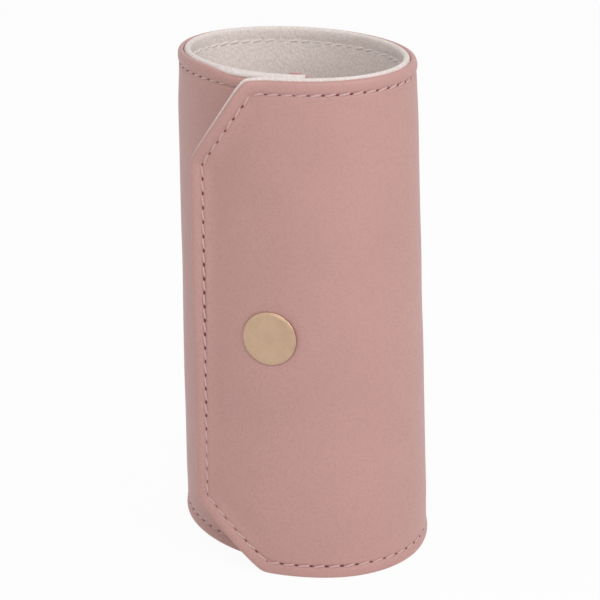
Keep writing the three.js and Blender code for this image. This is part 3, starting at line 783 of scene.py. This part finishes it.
class ROLL_OT_lining(MakesPieces, bpy.types.Operator):
    """Makes the padded velvet lining in sections split halfway between the folds"""

    bl_idname = "jewelry_roll.lining"
    bl_label = "Lining"

    def make(self, mm):
        far = WALL + 0.1

        def own_arc(arc, height):
            showing = mm["lining_line"] * smooth(0.34, 0.62, height / HEIGHT) * smooth(32, 18, LENGTH - arc)
            return arc * (LENGTH - 2 * LINING_INSET) / LENGTH + LINING_INSET + showing

        def relief(arc, height, distance):
            swell = mm["lining_swell"] * smooth(5, 14, distance)
            border = 0.06 * math.sin(math.pi * min(max((distance - 0.2) / 4.0, 0), 1))
            groove = 0.14 * ridge(distance, mm["seam_inset"], 0.9)
            calm = smooth(0, 3, distance)
            rough = unevenness(arc, height, 14, 0.3) + unevenness(arc, height, 45, 0.4)
            under_flap = 1 - 0.8 * smooth(225, 240, arc)
            return (swell + rough * calm) * under_flap + border - groove

        def place_of(arc, height, distance, side):
            over_rim = tucked(arc) * smooth(HEIGHT - 3, HEIGHT - 1.4, height)
            outer = blend(edge_thickness(mm, arc) + 0.12, 0.5, over_rim)
            fallen = rounded(distance, (far - outer) / 2)
            if side == 0:
                depth = outer + fallen
            else:
                depth = far - fallen + relief(arc, height, distance) * smooth(0, 0.9, distance)
                for centre in (SNAP_ARC, STUD_ARC):
                    near = around_snap(arc, height, centre)
                    depth = blend(depth, PIT_DEPTH, smooth(PLATE_RADIUS + 1.1, PLATE_RADIUS + 0.2, near))
            rise = blend(0.15, mm["lining_proud"], height / HEIGHT)
            return skin_point(own_arc(arc, height), height, depth, distance) + Vector((0, 0, rise * MM))

        def seam_of(distance, side):
            return ridge(distance, mm["seam_inset"], 0.7) if side == 1 else 0.0

        for piece, _, _ in skin_sections("lining_pad", "lining", place_of, seam_of, "roll_velvet"):
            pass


def seam_path(inset, pitch):
    """Needle holes round the panel, this far inside its edge, as pairs of flat places one stitch apart."""
    edge = LENGTH - inset
    foot, top = (
        LENGTH - along * (1 + inset * (math.hypot(1, down / along) - 1) / down)
        for down, along in (FOOT_CUT, TOP_CUT)
    )
    corners = [
        (inset, inset),
        (foot, inset),
        (edge, edge_loss(edge, inset, FOOT_CUT)),
        (edge, HEIGHT - edge_loss(edge, inset, TOP_CUT)),
        (top, HEIGHT - inset),
        (inset, HEIGHT - inset),
        (inset, inset),
    ]
    pairs = []
    for first, second in zip(corners, corners[1:]):
        first, second = Vector(first), Vector(second)
        count = round((second - first).length / pitch)
        holes = [first.lerp(second, step / count) for step in range(count + 1)]
        pairs += list(zip(holes, holes[1:]))
    return pairs


STITCH_SHARE = 0.415  # half a stitch's length, as a share of the pitch
# size and sinking of the dark bead of painted shade in each needle hole
HOLE_SHAPE = (0.8 * MM, 0.46 * MM, 0.3 * MM, 1)
HOLE_DEPTH = 0.22


class ROLL_OT_stitches(MakesPieces, bpy.types.Operator):
    """Sews the two skins together: a row of stitches on each side, and on the outer side a dark bead of
    painted shade in each needle hole
    """

    bl_idname = "jewelry_roll.stitches"
    bl_label = "Stitches"

    def sew(self, bm, pair, mm, depth, outwards):
        def place(flat, at_depth):
            return skin_point(flat.x, flat.y, at_depth, mm["seam_inset"])

        first, second = pair
        middle = (first + second) / 2
        span = second - first
        radius = mm["thread"] / 2
        ends = [place(middle + span * share, depth) for share in (-0.5, 0.5)]
        along = (ends[1] - ends[0]).normalized()
        up = (place(middle, depth - 1) - place(middle, depth)).normalized() * outwards
        across = up.cross(along).normalized()
        basis = axes(along, across, along.cross(across))
        wobble = noise.noise(Vector((middle.x, middle.y, 0)))
        slant = Matrix.Rotation(math.radians(10 + 6 * wobble), 4, "Z")
        shape = Matrix.Diagonal((span.length * STITCH_SHARE * MM, radius * MM, radius * 0.8 * MM, 1))
        stitch = bead(bm, Matrix.Rotation(math.pi / 2, 4, "Y"), 8)
        for vert in stitch:
            vert.co.x = math.copysign(abs(vert.co.x) ** 0.62, vert.co.x)
            vert.co.z -= 0.9 * abs(vert.co.x) ** 4
        spot = Matrix.Translation(place(middle, depth))
        bmesh.ops.transform(bm, matrix=spot @ basis @ slant @ shape, verts=stitch)
        if outwards < 0:
            return
        # painted shade: a dark bead sunk at the needle hole stands for the shade inside it
        spot = Matrix.Translation(place(first, depth + HOLE_DEPTH))
        hole_shade = bead(bm, spot @ basis @ Matrix.Diagonal(HOLE_SHAPE), 4)
        for face in {face for vert in hole_shade for face in vert.link_faces}:
            face.material_index = 1

    def make(self, mm):
        pairs = seam_path(mm["seam_inset"], mm["stitch_pitch"])
        rows = (
            ("outer_seam", mm["groove"] - 0.16, 1, "outer_thread", "leather"),
            ("inner_seam", WALL - 0.05, -1, "inner_thread", "lining"),
        )
        for word, depth, outwards, thread, slot in rows:
            for number, (start, end) in SECTIONS:
                bm = bmesh.new()
                for pair in pairs:
                    if start <= (pair[0].x + pair[1].x) / 2 < end:
                        self.sew(bm, pair, mm, depth, outwards)
                piece = finish_mesh(bm, f"{word}_{number + 1}", [thread, "needle_hole"], slot)
                fasten(piece, number)


def spun(profile, segments):
    """A round piece about Y from a profile of (radius, y) points that starts and ends on the axis."""
    bm = bmesh.new()
    verts = [bm.verts.new((radius, y, 0)) for radius, y in profile]
    edges = [bm.edges.new(pair) for pair in zip(verts, verts[1:])]
    turn = {"cent": (0, 0, 0), "axis": (0, 1, 0), "angle": 2 * math.pi}
    bmesh.ops.spin(bm, geom=verts + edges, steps=segments, use_merge=True, **turn)
    bmesh.ops.remove_doubles(bm, verts=bm.verts, dist=1e-5)
    return bm


class ROLL_OT_snap(MakesPieces, bpy.types.Operator):
    """Makes the magnetic snap's domed cap"""

    bl_idname = "jewelry_roll.snap"
    bl_label = "Magnetic snap"

    def make(self, mm):
        rise = mm["cap_rise"]
        radius, shoulder = SNAP_RADIUS, 0.62
        dome = [
            ((radius - 0.55) * math.sin(angle), shoulder + (rise - shoulder) * math.cos(angle))
            for angle in (math.pi / 2 * (1 - step / 10) for step in range(11))
        ]
        profile = [(0, -3.0), (2, -3.0), (2, -0.35), (radius - 0.5, -0.35), (radius - 0.12, -0.2)]
        profile += [(radius, 0.05), (radius, 0.3), (radius - 0.12, 0.48), (radius - 0.3, 0.58)]
        profile += dome
        spot = frame_at(SNAP_WIND) @ Matrix.Translation((0, 0, HEIGHT / 2))
        cap = finish_mesh(spun(profile, 96), "snap_cap_dome", ["plated_metal"], "gold", 50, spot)
        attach(cap, "flap")
        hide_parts("snap_cap")


SOFTENED = {"affect": "EDGES", "profile": 0.5, "material": -1}


def slab(low, high, softness, tip=None, tip_radius=0.0):
    """A box between two corners with softened edges; tip is 1 or -1 for a round upper or lower end."""
    bm = bmesh.new()
    low, high = Vector(low), Vector(high)
    centre = (low + high) / 2
    bmesh.ops.create_cube(bm, size=1)
    bmesh.ops.scale(bm, vec=high - low, verts=bm.verts)
    bmesh.ops.translate(bm, vec=centre, verts=bm.verts)
    if tip:
        corners = [
            edge
            for edge in bm.edges
            if all((vert.co.z - centre.z) * tip > 0 for vert in edge.verts)
            and abs(edge.verts[0].co.y - edge.verts[1].co.y) > 0.5 * (high.y - low.y)
        ]
        bmesh.ops.bevel(bm, geom=corners, offset=tip_radius, segments=14, **SOFTENED)
    sharp = [edge for edge in bm.edges if edge.calc_face_angle(0) > math.radians(40)]
    bmesh.ops.bevel(bm, geom=sharp, offset=softness, segments=3, **SOFTENED)
    return bm


def round_tab(name, spot, width, outer, inner, heights, tip, softness):
    """A leather tab between two depths off the wall; tip is 1 or -1 for a round upper or lower end."""
    low, high = (-width / 2, -inner, heights[0]), (width / 2, -outer, heights[1])
    bm = slab(low, high, softness, tip, width / 2 * 0.985)
    return finish_mesh(bm, name, ["fitting_leather"], "leather", 60, spot)


def tab_stitches(name, spot, depths, reach, straight, centre, turns, stitch):
    """Stitches up a tab's straight sides and round its end, at each depth; stitch is (radius, half)."""
    radius, half = stitch
    places = [(side * reach, z, 0.0) for side in (-1, 1) for z in straight]
    places += [(reach * math.cos(turn), centre + reach * math.sin(turn), -turn) for turn in turns]
    bm = bmesh.new()
    for depth in depths:
        for x, z, turn in places:
            turned = Matrix.Translation((x, -depth, z)) @ Matrix.Rotation(turn, 4, "Y")
            bead(bm, turned @ Matrix.Diagonal((radius, radius, half, 1)))
    return finish_mesh(bm, name, ["outer_thread"], "leather", None, spot)


CLOTH_SCALE = 0.02  # metres of simulated cloth to a millimetre of cover
CLOTH_STEPS = 20
STUFFING_PRESSURE = 1.5


def stuff(bm, is_sewn, most):
    """Swells a closed cover as stuffing does: cloth under pressure, held where it is sewn.

    No point moves further than most, in millimetres.
    """
    scene = bpy.context.scene
    mesh = bpy.data.meshes.new("stuffed_cover")
    bm.to_mesh(mesh)
    mesh.transform(Matrix.Scale(CLOTH_SCALE, 4))
    cover = bpy.data.objects.new("stuffed_cover", mesh)
    scene.collection.objects.link(cover)
    sewn = cover.vertex_groups.new(name="sewn")
    sewn.add([vert.index for vert in bm.verts if is_sewn(vert.co)], 1.0, "REPLACE")
    cloth = cover.modifiers.new("stuffing", "CLOTH")
    cloth.settings.vertex_group_mass = "sewn"
    cloth.settings.use_pressure = True
    cloth.settings.uniform_pressure_force = STUFFING_PRESSURE
    cloth.settings.effector_weights.gravity = 0
    cloth.point_cache.frame_end = CLOTH_STEPS
    for step in range(1, CLOTH_STEPS + 1):
        scene.frame_set(step)
    swollen = cover.evaluated_get(bpy.context.evaluated_depsgraph_get())
    for vert, swollen_vert in zip(bm.verts, swollen.data.vertices):
        shift = swollen_vert.co / CLOTH_SCALE - vert.co
        vert.co += shift * min(1.0, most / max(shift.length, 1e-6))
    scene.frame_set(1)
    bpy.data.objects.remove(cover)
    bpy.data.meshes.remove(mesh)


BAR_DEPTH = WALL + RING_SPACE + BAR_RADIUS
BAR_HEIGHTS = (23.75, 150.15)
BAR_SOFTNESS = 1.6
BAR_TAB_WIDTH = 14.6
BAR_TAB_DEPTHS = (WALL + 6.5, WALL + 8.1)
BAR_TAB_HEIGHTS = (144.8, 174.1)
BAR_TAB_STITCHES = (146.3, 149.4, 152.5, 156.0, 159.5, 163.0)


class ROLL_OT_ring_bar(MakesPieces, bpy.types.Operator):
    """Makes the padded bar for rings and its leather tab"""

    bl_idname = "jewelry_roll.ring_bar"
    bl_label = "Ring bar"

    def make(self, mm):
        spot = frame_at(wind_at(BAR_FROM_END))
        bottom, top = BAR_HEIGHTS
        soft, flat = BAR_SOFTNESS, BAR_RADIUS - BAR_SOFTNESS
        profile = [(0, bottom)]
        profile += [(flat + soft * math.sin(a), bottom + soft - soft * math.cos(a)) for a in QUARTER_TURN]
        for step in range(1, 64):
            height = blend(bottom + soft, top - soft, step / 64)
            swell = 0.12 * math.sin(height * 0.21) + 0.08 * math.sin(height * 0.83)
            profile.append((BAR_RADIUS - 0.2 + swell, height))
        profile += [(flat + soft * math.cos(a), top - soft + soft * math.sin(a)) for a in QUARTER_TURN]
        profile.append((0, top))
        bm = spun(profile, 48)
        bmesh.ops.rotate(bm, cent=(0, 0, 0), matrix=Matrix.Rotation(math.pi / 2, 3, "X"), verts=bm.verts)
        stuff(bm, lambda place: not bottom + 2 < place.z < top - 2, 0.5)
        bmesh.ops.translate(bm, vec=(0, -BAR_DEPTH, 0), verts=bm.verts)
        bar = finish_mesh(bm, "ring_bar_pad", ["fitting_velvet"], "lining", None, spot)
        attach(bar, "ring_bar")
        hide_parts("ring_bar_cover")

        about = (spot, BAR_TAB_WIDTH, *BAR_TAB_DEPTHS)
        tab = round_tab("ring_bar_tab_leather", *about, BAR_TAB_HEIGHTS, 1, 0.4)
        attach(tab, "ring_bar")
        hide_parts("ring_bar_tab")
        reach = BAR_TAB_WIDTH / 2 - 1.6
        centre = BAR_TAB_HEIGHTS[1] - BAR_TAB_WIDTH / 2
        turns = [math.pi * (step + 0.5) / 6 for step in range(6)]
        seam = tab_stitches(
            "ring_bar_tab_stitches",
            spot,
            reversed(BAR_TAB_DEPTHS),
            reach,
            BAR_TAB_STITCHES,
            centre,
            turns,
            (0.25, 1.15),
        )
        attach(seam, "ring_bar")


FINE_INSETS = (0, 0.08, 0.2, 0.4, 0.8, 1.6, 2.4)


def patch(name, arcs, heights, near, thickness, looks, slot, swell=0.0, step=2.0):
    """A thin flat piece that lies on the inner side of the wall, with rounded edges."""
    start, end = arcs
    low, high = heights
    half = thickness / 2
    count = max(2, round((end - start - 2 * FINE_INSETS[-1]) / step))
    inner = [blend(start + FINE_INSETS[-1], end - FINE_INSETS[-1], i / count) for i in range(count + 1)]
    stops = [start + inset for inset in FINE_INSETS[:-1]] + inner
    stops += [end - inset for inset in reversed(FINE_INSETS[:-1])]

    def place_of(arc, height, distance, side):
        back = rounded(distance, half)
        proud = swell * smooth(0.5, 4, distance) * (0.7 + noise.noise(Vector((arc / 9, height / 17, 2.5))))
        depth = near + back if side == 0 else near + thickness - back + proud
        return wall_point(wind_at(arc), height, depth)

    def seam_of(distance, side):
        return ridge(distance, 1.8, 0.4) if side == 1 else 0.0

    rows = plain_rows(low, high, FINE_INSETS, step)
    bm = pillow(stops, place_of, seam_of, rows, (start, end))
    return finish_mesh(bm, name, looks, slot)


def sew_patch(name, places, depth, look, slot):
    """Small stitches on the inner side of the wall, at (arc, height, is upright) places."""
    bm = bmesh.new()
    shape = Matrix.Diagonal((1.15 * MM, 0.24 * MM, 0.2 * MM, 1))
    for arc, height, upright in places:
        middle = wall_point(wind_at(arc), height, depth)
        next_arc, next_height = (arc, height + 0.5) if upright else (arc + 0.5, height)
        along = (wall_point(wind_at(next_arc), next_height, depth) - middle).normalized()
        out = (wall_point(wind_at(arc), height, depth + 1) - middle).normalized()
        bead(bm, Matrix.Translation(middle) @ axes(along, out.cross(along), out) @ shape)
    return finish_mesh(bm, name, [look], slot)


POCKET_SEAM = 1.2  # from a half's edge to its stitches
POCKET_THICKNESS = 1.2
POCKET_FROM_FOLD = 2.0
ZIP_END_OVERLAP = 0.6


class ROLL_OT_pocket(MakesPieces, bpy.types.Operator):
    """Makes the velvet pocket on each side of its zip, with its seams"""

    bl_idname = "jewelry_roll.pocket"
    bl_label = "Zipped pocket"

    def make(self, mm):
        middle = arc_at((FOLDS[2] + FOLDS[3]) / 2)
        near = WALL + 0.45
        left = (FOLD_ARCS[2] + POCKET_FROM_FOLD, middle - ZIP_HALF_WIDTH)
        right = (middle + ZIP_HALF_WIDTH, FOLD_ARCS[3] - POCKET_FROM_FOLD)
        for word, arcs, section in (("left", left, 3), ("right", right, 4)):
            look = (["roll_velvet"], "lining", 0.5)
            piece = patch(f"pocket_{word}", arcs, POCKET_HEIGHTS, near, POCKET_THICKNESS, *look)
            fasten(piece, section)
            if word == "left":
                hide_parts("pocket_panel")
            places = self.round_half(arcs, word == "left")
            seam = sew_patch(f"pocket_seam_{word}", places, near + 1.25, "inner_thread", "lining")
            fasten(seam, section)
        across = (middle - ZIP_HALF_WIDTH - ZIP_END_OVERLAP, middle + ZIP_HALF_WIDTH + ZIP_END_OVERLAP)
        foot, top = zip(POCKET_HEIGHTS, ZIP_HEIGHTS)
        for word, (low, high) in (("foot", foot), ("top", top[::-1])):
            look = (["roll_leather"], "leather")
            end = patch(f"pocket_end_{word}", across, (low, high), near + 0.2, 1.25, *look)
            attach(end, "panel_4")
            rows = [low + 3 + 2.9 * i for i in range(int((high - low - 2) / 2.9))]
            places = [(arc, row, True) for arc in (across[0] + 1.1, across[1] - 1.1) for row in rows]
            seam = sew_patch(f"pocket_end_seam_{word}", places, near + 1.45, "outer_thread", "leather")
            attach(seam, "panel_4")

    def round_half(self, arcs, zip_is_last):
        """Places for stitches round one half of the pocket, first along the zip."""
        start, end = arcs
        low, high = POCKET_HEIGHTS
        sides = (start + POCKET_SEAM, end - POCKET_SEAM)
        up = round((high - low - 4) / 3.4)
        across = round((end - start - 3) / 3.2)
        places = [
            (arc, blend(low + 2, high - 2, (i + 0.5) / up), True)
            for arc in (reversed(sides) if zip_is_last else sides)
            for i in range(up)
        ]
        return places + [
            (blend(start + 1.5, end - 1.5, (i + 0.5) / across), height, False)
            for height in (low + POCKET_SEAM, high - POCKET_SEAM)
            for i in range(across)
        ]


def strap_of(path, width, thickness):
    """A strap bent along a path of (y, z) points, with its edges softened."""
    bm = bmesh.new()
    verts = [bm.verts.new((-width / 2, y, z)) for y, z in path]
    edges = [bm.edges.new(pair) for pair in zip(verts, verts[1:])]
    swept = bmesh.ops.extrude_edge_only(bm, edges=edges)["geom"]
    moved = [item for item in swept if isinstance(item, bmesh.types.BMVert)]
    bmesh.ops.translate(bm, vec=(width, 0, 0), verts=moved)
    bmesh.ops.solidify(bm, geom=bm.faces[:], thickness=thickness)
    sharp = [edge for edge in bm.edges if edge.calc_face_angle(0) > math.radians(50)]
    bmesh.ops.bevel(bm, geom=sharp, offset=0.3, segments=3, **SOFTENED)
    return bm


STRAP_BEND = 1.5
NECKLACE_TAB_WIDTH = 10.0
NECKLACE_TAB_DEPTHS = (WALL + 3.6, WALL + 4.8)
NECKLACE_TAB_LENGTH = 20


class ROLL_OT_leather_tabs(MakesPieces, bpy.types.Operator):
    """Makes the bar's strap and anchor and the two necklace tabs"""

    bl_idname = "jewelry_roll.leather_tabs"
    bl_label = "Leather tabs"

    def make(self, mm):
        self.bar_strap()
        for number, height in enumerate(NECKLACE_HEIGHTS, 1):
            self.necklace_tab(number, height)

    def bar_strap(self):
        corner = Vector((STRAP_BEND - BAR_DEPTH, 17.3))
        bend = [
            (corner.x - STRAP_BEND * math.sin(a), corner.y - STRAP_BEND * math.cos(a)) for a in QUARTER_TURN
        ]
        bm = strap_of([(-WALL - 1.7, 15.8), *bend, (-BAR_DEPTH, 23.6)], 13.0, 1.5)
        looks = (["fitting_leather"], "leather", 60)
        strap = finish_mesh(bm, "ring_bar_strap_leather", *looks, frame_at(wind_at(BAR_FROM_END)))
        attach(strap, "ring_bar")
        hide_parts("ring_bar_strap")
        size_and_look = (WALL + 0.4, 1.6, ["roll_leather"], "leather", 0.0, 1.0)
        anchor = patch("ring_bar_anchor_leather", (0.6, 12.4), (7.0, 14.6), *size_and_look)
        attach(anchor, "panel_1")
        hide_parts("ring_bar_anchor")
        stitches = [(1.9 + 2.8 * i, height, False) for height in (8.3, 13.3) for i in range(4)]
        seam = sew_patch("ring_bar_anchor_seam", stitches, WALL + 2.02, "outer_thread", "leather")
        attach(seam, "panel_1")

    def necklace_tab(self, number, height):
        spot = frame_at((FOLDS[5] + FOLDS[6]) / 2)
        width, (outer, inner) = NECKLACE_TAB_WIDTH, NECKLACE_TAB_DEPTHS
        lowest = height - NECKLACE_TAB_LENGTH
        about = (spot, width, outer, inner, (lowest, height - 0.3))
        tab = round_tab(f"necklace_tab_leather_{number}", *about, -1, 0.3)
        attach(tab, f"necklace_tab_{number}")
        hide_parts(f"necklace_tab_{number}")
        bm = slab((-width / 2, -inner, height), (width / 2, -WALL - 0.4, height + 6), 0.5)
        looks = (["fitting_leather"], "leather", 60)
        base = finish_mesh(bm, f"necklace_base_leather_{number}", *looks, spot)
        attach(base, "panel_7")
        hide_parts(f"necklace_base_{number}")
        centre = lowest + width / 2
        straight = [centre + 2.6 * (i + 0.6) for i in range(5)]
        turns = [-math.pi * (i + 0.5) / 5 for i in range(5)]
        about = (spot, [inner], width / 2 - 1.2, straight, centre, turns)
        seam = tab_stitches(f"necklace_tab_stitches_{number}", *about, (0.2, 0.9))
        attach(seam, f"necklace_tab_{number}")


class ROLL_OT_fittings(MakesPieces, bpy.types.Operator):
    """Gives the boards, snaps, zip and other hard fittings their finish"""

    bl_idname = "jewelry_roll.fittings"
    bl_label = "Hard fittings"

    def make(self, mm):
        looks = {
            "board": "grey_board",
            "foam": "bar_foam",
            "gold": "plated_metal",
            "tape": "zip_tape",
            "leather": "fitting_leather",
            "lining": "fitting_velvet",
        }
        slots = {part["node"]: part["material_slot"] for part in frame["record"]["subparts"]}
        for name, node in frame["nodes"].items():
            if node.hide_render:
                continue
            node.data.materials.clear()
            node.data.materials.append(material(looks[slots[name]]))


LENS = 118.6
SHIFT = (0.0095, -0.0118)
CAMERA_SPOT = Vector((0, -655.3, 333.7))
CAMERA_TILT = math.radians(90 - 20.59)
CAMERA_ROLL = math.radians(-1.236)
FLOOR_GLOW = 0.94
WHITE = (1, 1, 1, 1)


class ROLL_OT_stage(MakesPieces, bpy.types.Operator):
    """Makes the floor, the lights and the camera"""

    bl_idname = "jewelry_roll.stage"
    bl_label = "Stage"

    def make(self, mm):
        scene = bpy.context.scene
        levels = scene.roll_stage
        shade = (*scene.roll_colours.backdrop, 1)
        self.camera(scene)
        self.floor(scene, shade)
        self.surround(scene, shade, levels.surround)
        self.lamp("key_light", (0.85, -0.7, 0.8), 0.7, levels.key)
        self.lamp("top_light", (0.0, -0.8, 1.05), 0.5, levels.top)
        scene.view_settings.view_transform = "Standard"

    def camera(self, scene):
        data = bpy.data.cameras.new("camera")
        made = bpy.data.objects.new("camera", data)
        scene.collection.objects.link(made)
        data.lens = LENS
        data.shift_x, data.shift_y = SHIFT
        data.clip_start = 0.01
        data.clip_end = 20
        tilt = Matrix.Rotation(CAMERA_TILT, 4, "X")
        roll = Matrix.Rotation(CAMERA_ROLL, 4, "Z")
        made.matrix_world = Matrix.Translation((CAMERA_SPOT + CENTRE) * MM) @ tilt @ roll
        scene.camera = made

    def floor(self, scene, shade):
        look = Look("pale_floor", None, Base_Color=shade, Roughness=0.9)
        glow = look.node("ShaderNodeEmission", {}, {"Color": WHITE, "Strength": 1})
        sockets = {0: look.in_view() * FLOOR_GLOW, 1: Shade(look, look.shader.outputs[0]), 2: glow}
        mixed = look.node("ShaderNodeMixShader", {}, sockets)
        out = next(node for node in look.tree.nodes if node.type == "OUTPUT_MATERIAL")
        look.tree.links.new(mixed.socket, out.inputs["Surface"])
        bm = bmesh.new()
        bmesh.ops.create_circle(bm, cap_ends=True, segments=64, radius=6)
        mesh = bpy.data.meshes.new("floor")
        bm.to_mesh(mesh)
        bm.free()
        mesh.materials.append(look.material)
        made = bpy.data.objects.new("floor", mesh)
        scene.collection.objects.link(made)
        made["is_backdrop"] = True

    def surround(self, scene, shade, strength):
        world = bpy.data.worlds.new("surround")
        world.use_nodes = True
        world.node_tree.nodes.clear()
        nodes = Nodes(world.node_tree)
        light = nodes.node("ShaderNodeBackground", {}, {"Color": shade, "Strength": strength})
        back = nodes.node("ShaderNodeBackground", {}, {"Color": WHITE, "Strength": 1})
        mixed = nodes.node("ShaderNodeMixShader", {}, {0: nodes.in_view(), 1: light, 2: back})
        nodes.node("ShaderNodeOutputWorld", {}, {"Surface": mixed})
        scene.world = world

    def lamp(self, name, spot, across, power):
        data = bpy.data.lights.new(name, "AREA")
        data.shape = "DISK"
        data.size = across
        data.energy = power
        made = bpy.data.objects.new(name, data)
        aim = Vector((0, 0, HEIGHT / 2 * MM)) - Vector(spot)
        made.matrix_world = Matrix.Translation(spot) @ aim.to_track_quat("-Z", "Y").to_matrix().to_4x4()
        bpy.context.scene.collection.objects.link(made)


class ROLL_PT_panel(bpy.types.Panel):
    """Lists the pieces of the jewelry roll"""

    bl_idname = "ROLL_PT_panel"
    bl_label = "Jewelry roll"
    bl_space_type = "VIEW_3D"
    bl_region_type = "UI"
    bl_category = "Jewelry roll"

    def draw(self, context):
        for operator in OPERATORS:
            self.layout.operator(operator.bl_idname)
        for group in ("roll_sizes", "roll_colours", "roll_stage"):
            held = getattr(context.scene, group)
            box = self.layout.box()
            for name in held.__annotations__:
                box.prop(held, name)


OPERATORS = (
    ROLL_OT_stage,
    ROLL_OT_leather,
    ROLL_OT_lining,
    ROLL_OT_stitches,
    ROLL_OT_snap,
    ROLL_OT_ring_bar,
    ROLL_OT_pocket,
    ROLL_OT_leather_tabs,
    ROLL_OT_fittings,
)
GROUPS = {"roll_sizes": RollSizes, "roll_colours": RollColours, "roll_stage": RollStage}


def register():
    for each in (*GROUPS.values(), *OPERATORS, ROLL_PT_panel):
        bpy.utils.register_class(each)
    for name, group in GROUPS.items():
        setattr(bpy.types.Scene, name, PointerProperty(type=group))


def unregister():
    for name in GROUPS:
        delattr(bpy.types.Scene, name)
    for each in (ROLL_PT_panel, *reversed(OPERATORS), *GROUPS.values()):
        bpy.utils.unregister_class(each)


def main():
    register()
    for operator in OPERATORS:
        family, name = operator.bl_idname.split(".")
        getattr(getattr(bpy.ops, family), name)()
    boxes = {"cad": CAD_BOX, "visual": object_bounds()}
    plain = {name: [[float(value) for value in corner] for corner in box] for name, box in boxes.items()}


if __name__ == "__main__":
    main()
